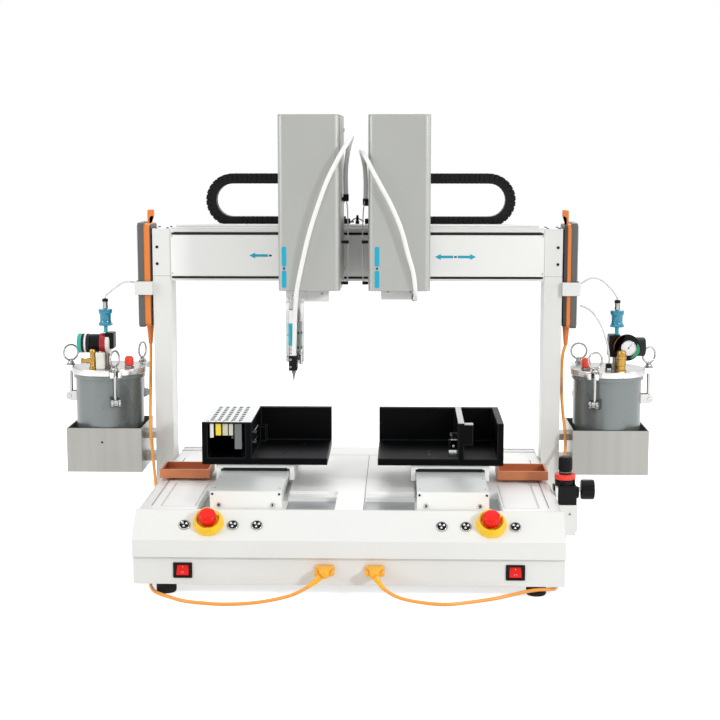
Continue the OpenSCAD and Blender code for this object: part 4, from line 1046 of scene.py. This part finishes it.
r, low, high, lid, at = (potSet[key] for key in ("radius", "low", "high", "lid", "boltR"))
vessel = newShape()
turned(vessel, [(r - 7, low), (r - 3, low + 0.8), (r - 0.8, low + 3), (r, low + 6), (r, 288), (r + 0.6, 289),
                (r + 4, 289.4), (r + 4, high - 0.6), (r + 3.4, high), (r - 4, high), (r - 4, low + 5),
                (r - 7, low + 4)], sides=72)
turned(vessel, [(r + 3.6, high - 0.4), (r + 3.9, high), (r + 3.6, high + 0.4), (r - 3, high + 0.4),
                (r - 3, high - 0.4)], sides=72, finish=1, ring=True)
lug = newShape()
drawn(lug, lugOutline(r - 6, at, potSet["lugR"]), high + 0.5, lid - 0.3, "z", (0, 0), 0.8)
a = evenAngles(48)
ring = newShape()
tube(ring, np.stack([potSet["ringR"] * np.cos(a), 0 * a, potSet["ringR"] * np.sin(a)], -1), 2, 14, closed=True)
cheek = rounded([(r - 1.5, 240), (at - 4, 239), (at + 8, 242), (at + 8, 255), (at - 4, 258), (r - 1.5, 258)],
                [0.6, 4, 6, 6, 4, 0.6], 4)

# swing bolt: shank, washer, ring nut, thread and a clevis with the bolt's eye; its ring is added turned
swingBolt = newShape()
turnedParts(swingBolt, (at, 0, lid), "z", (
    (18, 0, [(3, -65), (3, 2)]),
    (32, 0, [(3.1, 0.05), (7.6, 0.05), (8, 0.5), (8, 1.7), (7.4, 2.1), (3.1, 2.1)]),
    (28, 0, [(5.6, 2), (6.2, 2.6), (6.0, 4.6), (4.6, 6.6), (3.4, 7.4), (3.2, 9.4)]),
    (18, 0, np.stack([2.95 - 0.22 * (np.arange(12) % 2), np.linspace(7, 10.6, 12)], -1))))
for way in (-1, 1):
    lowY, highY = sorted((way * 4.6, way * 8.9))
    drawn(swingBolt, cheek, lowY, highY, "y", (0, 0), 0.6)
turnedParts(swingBolt, (at, 0, 248.5), "y", (
    (20, 0, [(2.6, -9.6), (3.8, -9.4), (3.8, -8.8), (3.0, -8.6), (3.0, 8.6), (3.8, 8.8), (3.8, 9.4), (2.6, 9.6)]),
    (28, 0, [(6.4, -4.2), (6.9, -3.8), (6.9, 3.8), (6.4, 4.2)])))

top, bolts = newShape(), newShape()
turned(top, [(r, high + 0.3), (r + 6.2, high + 0.3), (r + 7, high + 1.2), (r + 7, lid - 1.4), (r + 6.4, lid - 0.3),
             (r + 5, lid), (r - 10, lid), (r - 11, lid - 0.25), (0.1, lid - 0.25)], sides=96)
for third, ringTurn in enumerate(potSet["ringTurn"]):
    addShape(top, lug, (0, 0, 120 * third))
    bolt = moved(swingBolt)
    addShape(bolt, ring, (0, 0, ringTurn), (at, 0, potSet["ringZ"]))
    addShape(bolts, bolt, (0, 0, 120 * third))
for name, source, finishes, node, angle in (("vessels", vessel, [potGrey, rubberBlack], "pot_vessels", 38),
                                            ("lids", top, [lidSteel], "pot_lids", 30),
                                            ("swing_bolts", bolts, [polishedSteel], "pot_clamps", 38)):
    shape = newShape()
    for way, turn in potSet["turn"].items():
        addShape(shape, source, (0, 0, turn), (way * potSet["x"], potSet["y"], 0))
    build(name, shape, finishes, "frame", (node,), angle)
print("pots made")


# Regulators on the lids: the barrel lies across, its knob turns, a slide valve stands above it

regSet = {"left": {"x": -478, "barrelZ": 354.5, "knob": (-531, -507), "knobR": 18.2, "band": (-531, -523),
                   "body": (-506.7, -466), "r": 17.5},
          "right": {"x": 489.5, "barrelZ": 351.5, "knob": (508, 543), "knobR": 18.0, "band": (508.4, 513),
                    "r": 17},
          "y": 462, "lid": 309}


# ribbed knob: stations of height and radius; where that is None, the radius drops by the depth
# wherever the sine of the ribs is positive
def ribbedKnob(stations, radius, ribs, depth=0.5):
    a = evenAngles(120)
    grip = radius - depth * (0.5 + 0.5 * np.sign(np.sin(a * ribs)))
    rows = [(h, grip if r is None else r) for h, r in stations]
    return np.array([np.stack([r * np.cos(a), r * np.sin(a), np.full(120, h)], -1) for h, r in rows])


# pressure gauge that faces forward: rim, white face, eleven ticks and a pointer
def gaugeFace(target, x, y, z, radius, rim, face, mark):
    turnedParts(target, (x, y, z), "y", (
        (40, rim, [(radius - 3, 12), (radius - 0.6, 11.6), (radius, 10.6), (radius, 1), (radius - 0.5, 0),
                   (radius - 1.4, 0), (radius - 1.6, 1.2), (0.1, 1.2)]),
        (36, face, [(radius - 1.6, 1.25), (radius - 1.6, 1.0), (0.1, 1.0)])))
    reach = radius - 3.1
    for tick in range(11):
        a = math.radians(225 - 27 * tick)
        line = newShape()
        drawn(line, roundRect(0.35, 1.1 if tick % 5 else 1.8, 0.1, 1), 0, 0.12, edge=0.02, steps=1, finish=mark)
        addShape(target, line, (90, 90 - math.degrees(a), 0),
                 (x + reach * math.cos(a), y + 0.98, z + reach * math.sin(a)))
    pointer = newShape()
    drawn(pointer, rounded([(-0.7, -2.4), (0.7, -2.4), (0.16, radius - 4.6), (-0.16, radius - 4.6)], 0.1, 1),
          0, 0.3, edge=0.05, steps=1, finish=mark)
    addShape(target, pointer, (90, 38, 0), (x, y + 0.95, z))
    turned(target, [(1.3, 0.9), (1.1, 0.4), (0.1, 0.4)], (x, y, z), "y", 16, mark)


# relief valve: hexagon foot, red cap with a rounded top and a small stem
def reliefValve(target, x, steel, red):
    turnedParts(target, (x, regSet["y"], regSet["lid"]), "z", (
        (6, steel, [(9.2, -0.1), (9.2, 2.4), (8.2, 3.2)]),
        (32, red, [(6, 3), (8, 4), (8.6, 6), (8.6, 15), (7.8, 18), (6, 20.4), (3, 21.4), (0.1, 21.6)]),
        (12, steel, [(1.2, 21), (1.2, 21.9), (0.1, 22)])))


# sleeve of the slide valve: a turned ring, waisted between two collars
def slideValve(x):
    sleeve = newShape()
    turned(sleeve, [(4.05, 389), (13, 389), (13.5, 389.6), (13.5, 392.6), (12.4, 393.6), (11.2, 395), (10.4, 399),
                    (10.6, 404), (11, 409), (11.8, 411.5), (12.8, 412.6), (13, 414), (13, 419.2), (12.4, 420),
                    (4.05, 420)], (x, regSet["y"], 0), sides=44, ring=True)
    return sleeve


# stem that the slide valve's sleeve runs on, a hexagon fitting on it and the cap that holds the tube
def valveStem(target, x, y, collar):
    turnedParts(target, (x, y, 0), "z", (
        (28, 4, [*collar, (3.8, 376.8), (3.8, 422)]),
        (6, 1, [(3.9, 421.5), (5, 421.5), (5, 427), (4.6, 427.4), (4.6, 433), (5.6, 433.4), (5.6, 437.2), (4.8, 438),
                (2.2, 438)]),
        (28, 0, [(5.7, 434.2), (5.7, 438.4), (4.8, 439.6), (2.3, 440)])))


leftReg, y, lid = regSet["left"], regSet["y"], regSet["lid"]
shape = newShape()
x, z, r = leftReg["x"], leftReg["barrelZ"], leftReg["r"]
low = leftReg["body"][0]
turned(shape, [(8.6, -0.2), (8.6, 5), (7, 6), (7, 36)], (x, y, lid), sides=6, finish=1)
turnedParts(shape, (0, y, z), "x", (
    (44, 0, [(r - 1, low), (r, low + 1), (r, -486)]),
    (48, 2, [(r - 1, -488.5), (r + 2, -488), (r + 2, -477.6), (r + 1, -477), (r - 1, -477)]),
    (48, 3, [(r - 1, -477.2), (r + 1.6, -477), (r + 1.8, -476), (r + 1.8, -470.6), (r + 0.6, -469.4), (r - 2, -469)])))
block(shape, (-478, 448, 345), (-461, 476, 376), 2.4, 0, 3)
valveStem(shape, x, y, [(6.2, 375.8), (6.2, 376.4)])
# brass cock with a lever, a white elbow and the red relief knob
turned(shape, [(7, -0.1), (7, 3), (5.6, 4), (5.6, 9), (6.4, 10), (6.4, 20), (5.2, 22), (5.2, 29), (6, 30), (6, 35),
               (4.6, 37.5), (0.1, 38)], (-499, 437, lid), sides=24, finish=5)
turned(shape, [(4.4, -521.4), (5, -520.6), (5, -517), (4, -516.4), (4, -511), (5, -510.4), (5, -503)],
       (0, 437, 324), "x", 20, 5)
block(shape, (-492.3, 430, lid - 0.1), (-477, 444, 340), 1.6, 3, 3)
turned(shape, [(3.4, 339.8), (3.4, 342.4), (2.6, 343), (0.1, 343)], (-484.6, 437, 0), sides=20, finish=1)
reliefValve(shape, -434.6, 1, 6)
build("left_regulator", shape, [satinBlack, polishedSteel, ringDark, padWhite, valveTeal, brass, reliefRed], "frame")

rightReg = regSet["right"]
x, z, r = rightReg["x"], rightReg["barrelZ"], rightReg["r"]
shape = newShape()
turned(shape, [(8.6, -0.2), (8.6, 5), (7, 6), (7, 27)], (x, y, lid), sides=6, finish=1)
block(shape, (473.6, 446, 333), (496, 478, 375), 3, 0, 3)
turned(shape, [(r - 2, 494), (r, 495), (r, 506.4), (r - 1, 507.4)], (0, y, z), "x", 44, 0)
turned(shape, [(5.5, 440), (5.5, 452)], (501, 0, 352), "y", 20, 1)
turned(shape, [(16, 438), (24, 438.4), (25, 439.4), (25, 442), (24, 442.8), (0.1, 442.8), (0.1, 438)],
       (506, 0, 352.5), "y", 56, 0)
# coloured crescents on the ring round the gauge, between two radii that meet at the ends
for low, high, inner, outer, finish in ((95, 205, 23.4, 25.6, 6), (-72, 22, 16.5, 24.4, 2)):
    a = np.radians(np.linspace(low, high, 25))
    narrow = (outer - inner) * 0.42 * np.abs(np.linspace(-1, 1, 25)) ** 1.5
    field = np.concatenate([polar(outer - narrow, a), polar(inner + narrow, a)[::-1]])
    drawn(shape, field, 437.2, 440, "y", (506, 352.5), 0.4, 1, finish)
gaugeFace(shape, 507.6, 428, 353, 14.6, 1, 7, 8)
valveStem(shape, x, y, [(6.2, 374.8), (6.2, 376.2)])
turned(shape, [(9.2, -0.1), (9.2, 4), (7.6, 5), (7.6, 12), (8.6, 13), (8.6, 24), (9.4, 25), (9.4, 30), (8.2, 31),
               (8.2, 38), (6.4, 40.6), (0.1, 41)], (493.6, 421, lid), sides=28, finish=5)
turnedParts(shape, (472.6, 438, lid), "z", (
    (6, 1, [(6.8, -0.1), (6.8, 5), (6, 5.6)]),
    (28, 0, [(5.2, 5), (6, 6), (6, 12), (5, 13.4), (2.3, 13.5)])))
reliefValve(shape, 433, 1, 9)
build("right_regulator", shape, [satinBlack, polishedSteel, dialGreen, padWhite, valveTeal, brass, copperRing,
                                 dialWhite, printBlack, reliefRed], "frame", ("pot_regulators",))

for side, spec in (("left", leftReg), ("right", rightReg)):
    knob = newShape()
    low, high = spec["knob"]
    plain = spec["knobR"] - 0.5
    stations = [(low, plain - 1.4), (low + 0.9, plain - 0.3), (low + 1.4, plain), (low + 2.2, None),
                (high - 2.2, None), (high - 1.4, plain), (high - 0.9, plain - 0.3), (high, plain - 1.6)]
    addGrid(knob, alongAxis(ribbedKnob(stations, spec["knobR"], 30), "x"))
    bandLow, bandHigh = spec["band"]
    turned(knob, [(18.0, bandLow + 0.3), (18.6, bandLow + 1), (18.6, bandHigh - 1), (18.0, bandHigh)], sides=60,
           axis="x", finish=1)
    if side == "left":
        turned(knob, [(18.1, -518), (18.5, -517.6), (18.5, -514.6), (18.1, -514.2)], sides=60, axis="x", finish=2)
    build(f"pressure_knob_{side}_grip", moved(knob, move=(0, y, spec["barrelZ"])),
          [knobDark, knobTeal if side == "left" else dialGreen, padWhite], f"pressure_knob_{side}",
          (f"pot_knob_{side}",))
    build(f"sleeve_{side}_body", slideValve(spec["x"]), [valveBlue], f"sleeve_{side}", (f"slide_valve_{side}",))
print("regulators made")


# Air unit at the right: head, bowl, red ring, knob, dial to the side and a white bracket

airSet = {"x": 368, "y": 190, "dialZ": 138, "inlet": (0, 216.5, 124), "ribs": 24}
x, y = airSet["x"], airSet["y"]
shape = newShape()
plate = rounded([(350.1, 115), (350.1, 68), (357, 68), (357, 62), (385, 62), (385, 68), (388, 70), (388, 115)],
                [1, 1, 0.6, 1, 1, 0.6, 1.4, 2], 4)
drawn(shape, plate, 166, 170, "y", (0, 0), 0.6, 2, 1)
block(shape, (350.05, 168, 62), (354, 206, 146), 0.8, 1)
addScrews(shape, 2.3, 1.6, [(357.5, 166.1, 100), (374.5, 166.1, 100)], finish=2, socketFinish=3)
block(shape, (353.6, 171, 106), (387, 209, 148), 3.0, 0, 3)
block(shape, (347, 180, 136), (355, 200, 147), 2.4, 0, 3)
# collar, red ring, bowl and drain
turnedParts(shape, (x, y, 0), "z", (
    (48, 0, [(14.2, 147.6), (16.9, 148.2), (17.5, 149.6), (17.5, 155.4), (16.9, 157)]),
    (56, 4, [(16.6, 156.8), (17.6, 157.3), (18, 158.4), (18, 164.4), (17.4, 165.6), (15.6, 166), (9, 166)]),
    (40, 0, [(3.2, 64), (9, 65), (13, 68), (14.6, 73), (15, 80), (15, 98), (16.4, 100), (16.4, 106.4)]),
    (18, 3, [(2.2, 44), (3.2, 44), (3.6, 46), (3.6, 62), (4, 65)])))
turned(shape, [(9, 386.6), (10.5, 387.4), (10.5, 390.4), (9.6, 391.5), (4, 391.5)], (0, y, 133), "x", 32, 3)
turnedParts(shape, (0, y, airSet["dialZ"]), "x", (
    (24, 2, [(4, 386.6), (4, 395)]),
    (56, 0, [(4, 394.4), (15.6, 394.9), (17.2, 396), (17.5, 398), (17.5, 415), (16.8, 417.4), (15.6, 418),
             (14.6, 418), (14.4, 417.2), (0.1, 417.2)])))
turned(shape, [(5, 378.4), (5, 386.6), (6, 387.4), (8, 387.4), (8.5, 386.6), (8.5, 376), (7.6, 374), (5, 374)],
       airSet["inlet"], "x", 32, 2, ring=True)
turned(shape, [(7.4, 360), (8, 360.6), (8, 375)], airSet["inlet"], "x", 32, 3)
build("air_unit", shape, [glossBlack, whitePaint, polishedSteel, satinBlack, ringRed], "frame", ("frl_body",))

shape = newShape()
stations = [(166.3, 10.6), (167, 11), (171.6, 11), (172.2, 11.3), (173.6, None), (191.4, None), (194, 11.2),
            (195.4, 9.8), (196, 8)]
addGrid(shape, ribbedKnob(stations, 12.0, airSet["ribs"]) + [x, y, 0])
turned(shape, [(10.9, 168.2), (11.3, 168.6), (11.3, 169.8), (10.9, 170.2)], (x, y, 0), sides=40, finish=1)
build("air_knob_grip", shape, [satinBlack, padGrey], "air_knob", ("frl_knob",))
print("air unit made")


# Beam: arrows on the cover, screws on the end caps and on top, a seam at each cap and two black strips, painted shade
# of the cover's slots

beamSet = {"front": 450, "cover": 447, "high": 573, "capX": 375.5, "capScrews": (507, 538.5),
           "arrows": ((-201.5, -166.3, 1, 0, 523), (146.1, 180.35, 1, 0, 521), (188.35, 222.6, 0, 1, 521)),
           "spots": ((-161.8, 523), (184.35, 521)), "slots": (479.8, 561.8)}


# arrow: a bar with a pointed head at one or both ends
def arrowOutline(low, high, leftHead, rightHead, bar=2.4, head=5.5, reach=11):
    up = [(low, 0), (low + reach, head), (low + reach, bar)] if leftHead else [(low, bar)]
    up += [(high - reach, bar), (high - reach, head), (high, 0)] if rightHead else [(high, bar)]
    up = np.array(up, float)
    down = (up * [1, -1])[::-1]
    keep = np.abs(down[:, 1]) > 0
    return np.concatenate([up, down[keep]])[::-1]


shape = newShape()
marks = [(arrowOutline(low, high, left, right), (0, z), 0) for low, high, left, right, z in beamSet["arrows"]]
marks += [(roundRect(5, 3.4, 0.5), at, 1) for at in beamSet["spots"]]
for outline, at, finish in marks:
    drawn(shape, outline, beamSet["cover"] - 0.25, beamSet["cover"] + 0.1, "y", at, 0.05, 1, finish)
build("beam_arrows", shape, [markBlue, markDark], "frame")

half = newShape()
top = beamSet["high"] - 0.1
addScrews(half, 2.7, 1.4, [(beamSet["capX"], beamSet["front"] + 0.1, z) for z in beamSet["capScrews"]])
addScrews(half, 3, 2.0, [(x, 503, top) for x in (338, 318, 300)], "up")
addScrews(half, 2.6, 1.8, [(x, y, top) for x in (356, 378) for y in (458, 503)], "up")
addScrews(half, 3.9, 2.4, [(381.5, y, z) for z in (62, 104) for y in (465, 497)], "right")
# seams: the cap meets the post below the beam, and its inner edge meets the cover
for width, height, at in ((33.4, 0.5, (367, 484.2)), (0.5, 97, (350.2, 524))):
    drawn(half, roundRect(width, height, 0.1, 1), 449.86, 450.2, "y", at, 0.02, 1, 2)
shape = bothSides(half)
# the slots: thin black strips on the cover, painted shade
for z in beamSet["slots"]:
    block(shape, (-348, 449.5, z), (348, 450.3, z + 3.6), 0.05, 1)
build("beam_screws", shape, [satinBlack, slotShade, padGrey], "frame")
print("beam dressed")


# Slides: screws of the front plates and of the covers

slideSet = {"x": 170, "low": 142, "high": 160, "front": 43.9, "top": 163.9}
half = newShape()
for way in (-1, 1):
    x = slideSet["x"]
    addScrews(half, 1.9, 1.2, [(x + way * 55, slideSet["front"], slideSet["high"])])
    addScrews(half, 3.9, 1.8, [(x + way * 44, slideSet["front"], slideSet["low"])], finish=2)
    addScrews(half, 1.6, 0.6, [(x + way * 54, y, slideSet["top"]) for y in (70, 150, 400, 480)], "up", 2)
build("slide_plate_screws", bothSides(half), [satinBlack, slotShade, polishedSteel], "frame")


# Trays: pins, strips and blocks catch the light inside the dark fixtures; a slotted lid on the left one

traySet = {"left": -262, "right": 262, "top": 249, "slotRows": 5, "slotsEach": 8,
           "strips": ((14, 6, 26, 1), (24, 9, 22, 2), (36, 9, 22, 3), (47, 7, 22, 3), (57, 12, 46, 4))}
left, right, top = traySet["left"], traySet["right"], traySet["top"]
shape = newShape()
for z in (214, 232):
    turned(shape, [(3, 0), (3, 7), (2.4, 8), (0.1, 8)], (left + 87, 212, z), "x", 20)
    tube(shape, [(left + 90, 216, z + 1), (left + 91, 250, z + 1), (left + 91, 268, z + 1)], 1.4, 8)
for x, width, height, finish in traySet["strips"]:
    block(shape, (left + x - 0.1, 202.6, top - height - 0.2), (left + x + width + 0.1, 212.2, top - 0.5), 0.5, finish)
for i in range(5):
    turned(shape, [(1.6, 1.9), (1.6, 3.4), (1.1, 3.8), (0.1, 3.8)], (left + 10 + i * 14, 206, top), sides=14)
for x, y, z in ((42, 300, 205), (62, 280, 196)):
    turned(shape, [(1.8, -2), (1.8, 0), (0.1, 0.4)], (left + x, y, z), "y", 14)
block(shape, (left + 0.3, 200.4, top + 1.9), (left + 86.7, 368.9, top + 2.2), 0.1, 5)
# the lid's openings: black pads, painted shade
for i in range(traySet["slotRows"]):
    for j in range(traySet["slotsEach"]):
        drawn(shape, roundRect(6.4, 10.5, 1, 2), top + 2.1, top + 2.3, "z", (left + 16 + i * 12.5, 220 + j * 18.5),
              0.05, 1, 6)
build("tray_left_details", shape, [polishedSteel, padWhite, padYellow, padBeige, padGrey, coverGrey, slotShade],
      "tray_left")

shape = newShape()
turned(shape, [(4.5, -13), (4.5, -9), (4.0, -8.6), (4.0, -2), (2, -1.6), (2, 1)], (right - 79, 232, 224), "x", 22)
addScrews(shape, 2.2, 1.4, [(right - 86, 226.1, 206)])
for i in range(6):
    for y in (240, 270):
        turned(shape, [(1.5, 187.2), (1.5, 188.15), (1.0, 188.3), (0.1, 188.3)], (89 + i * 9, y, 0), sides=12,
               finish=0 if i == 5 else 1)
for low, high, edge, finish in (((-68, 199.8, 247.8), (-52.8, 214, 249.6), 0.4, 2),
                                ((-78.7, 200.3, 250.4), (-68.3, 367.9, 250.75), 0.1, 3),
                                ((-94.2, 225.8, 188.1), (-79, 238.2, 199), 0.8, 0),
                                ((-91, 226, 201), (-79, 238, 216.2), 0.8, 3),
                                ((-93.4, 226.6, 198), (-80, 237.4, 202), 0.8, 3)):
    block(shape, (right + low[0], *low[1:]), (right + high[0], *high[1:]), edge, finish)
build("tray_right_details", shape, [polishedSteel, satinBlack, recessGrey, recessGrey], "tray_right")
# a black strip in the gap under each carriage: painted shade of that gap
for side, x in (("left", -slideSet["x"]), ("right", slideSet["x"])):
    shape = newShape()
    block(shape, (x - 56, 203.7, 164.3), (x + 56, 205.3, 169.5), 0.3)
    build(f"tray_{side}_gap_shade", shape, [rubberBlack], f"tray_{side}")
print("trays dressed")


# Deck: seams along the rails, round the panels, in the middle and at the back; steel floors of the recesses

deckSet = {"z": 135.5, "seams": ((22.6, 41, 23.8, 485), (-108, 484.4, 108, 485.8)), "rail": (327.4, 60, 329.0, 446),
           "panel": (255, 312, 59, 233), "floors": ((24.4, 41, 107.6, 149.6), (234.4, 41, 250.6, 174.6)),
           "strips": (520, 545)}


# a flat strip on the deck between two corners
def deckStrip(target, corners, low, high, edge, finish=0):
    block(target, (*corners[:2], low), (*corners[2:], high), edge, finish)


half = newShape()
z = deckSet["z"]
deckStrip(half, deckSet["rail"], z - 0.1, z + 0.12, 0.05)
low, high, front, back = deckSet["panel"]
for corners in ((low - 1, front, low, back), (high, front, high + 1, back), (low, front - 1, high, front),
                (low, back, high, back + 1)):
    deckStrip(half, corners, z - 0.1, z + 0.1, 0.04, 1)
for corners in deckSet["floors"]:
    deckStrip(half, corners, 122.45, 122.9, 0.1, 1)
for y in deckSet["strips"]:
    deckStrip(half, (262, y, 345, y + 2.4), z - 0.1, z + 0.9, 0.2, 1)
shape = bothSides(half)
for corners in deckSet["seams"]:
    deckStrip(shape, corners, z - 0.1, z + 0.12, 0.05)
build("deck_lines", shape, [padGrey, recessGrey], "frame")
print("deck lined")


# Finishes of the CAD nodes that stay

kept = {
    "base_pan": whitePaint, "front_fascia": whitePaint, "top_deck": litDeckPaint, "side_rails": railWhite,
    "gantry_posts": whitePaint, "beam_housing": whitePaint, "beam_cover": litPanelWhite, "guide_rails": railSteel,
    "y_housings": litPanelWhite, "y_top_covers": coverGrey, "purge_trays": copperTray,
    "pendant_holders": whitePaint, "pot_brackets": sheetSteel, "x_carriage_left": carriageGrey,
    "x_carriage_right": carriageGrey, "z_slide_left": litPanelWhite, "z_slide_right": litPanelWhite,
    "y_carriage_left": litPanelWhite, "y_carriage_right": litPanelWhite, "fixture_left": anodBlackPaintedShade,
    "fixture_right": anodBlackPaintedShade,
}


# one finish on all the slots of a CAD node
def dress(node, finish):
    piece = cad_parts[node]
    for slot in range(len(piece.data.materials)):
        piece.data.materials[slot] = finish
    if not piece.data.materials:
        piece.data.materials.append(finish)


for node, finish in kept.items():
    dress(node, finish)
print("kept nodes dressed")


# Floor, world and lamps

# 1 for rays that the camera, a reflection or clear plastic sees, 0 for the light itself
def pathMask(tree):
    rays = addNode(tree, "ShaderNodeLightPath").outputs
    seen = calc(tree, "MAXIMUM", rays["Is Camera Ray"], rays["Is Glossy Ray"])
    return calc(tree, "MAXIMUM", seen, rays["Is Transmission Ray"])


lightSet = {"world": 0.5, "floorGlow": 0.67,
            "lamps": [("key", (2.4, -2.5, 1.6), (0.35, 0.35), 48), ("fill", (-2.8, -1.3, 1.5), (1.8, 1.8), 38),
                      ("top", (0.0, -0.4, 3.2), (3.4, 2.8), 20), ("back", (0.3, 2.4, 2.2), (2.6, 1.4), 40),
                      ("strip", (3.0, -0.35, 1.1), (0.6, 1.5), 12)]}

world = bpy.data.worlds.new("studio")
bpy.context.scene.world = world
world.use_nodes = True
tree = world.node_tree
tree.nodes.clear()
dim, bright = (addNode(tree, "ShaderNodeBackground", (1, 1, 1, 1), strength).outputs[0]
               for strength in (lightSet["world"], 1.0))
mix = addNode(tree, "ShaderNodeMixShader", pathMask(tree), dim, bright)
addNode(tree, "ShaderNodeOutputWorld", mix.outputs[0])

floorData = bpy.data.meshes.new("floor")
floorData.from_pydata([(-7, -5, 0), (7, -5, 0), (7, 8, 0), (-7, 8, 0)], [], [(0, 1, 2, 3)])
floor = addObject("floor", floorData)
floorPaint = bpy.data.materials.new("floorPaint")
floorPaint.use_nodes = True
tree = floorPaint.node_tree
tree.nodes.clear()
matt = addNode(tree, "ShaderNodeBsdfDiffuse", Color=(0.8, 0.8, 0.8, 1))
glow = addNode(tree, "ShaderNodeEmission", Color=(1, 1, 1, 1),
               Strength=calc(tree, "MULTIPLY", pathMask(tree), lightSet["floorGlow"]))
both = addNode(tree, "ShaderNodeAddShader", matt.outputs[0], glow.outputs[0])
addNode(tree, "ShaderNodeOutputMaterial", both.outputs[0])
floorData.materials.append(floorPaint)

for name, place, size, power in lightSet["lamps"]:
    data = bpy.data.lights.new(name, "AREA")
    data.shape = "RECTANGLE"
    data.size, data.size_y = size
    data.energy = power
    lamp = addObject(name, data)
    lamp.location = place
    aim = np.array([0, 0, 0.35]) - np.array(place)
    flat = math.hypot(aim[0], aim[1])
    lamp.rotation_euler = (math.atan2(flat, -aim[2]), 0, math.atan2(-aim[0], aim[1]))

bpy.context.scene.view_settings.view_transform = "Standard"


print("scene ready")
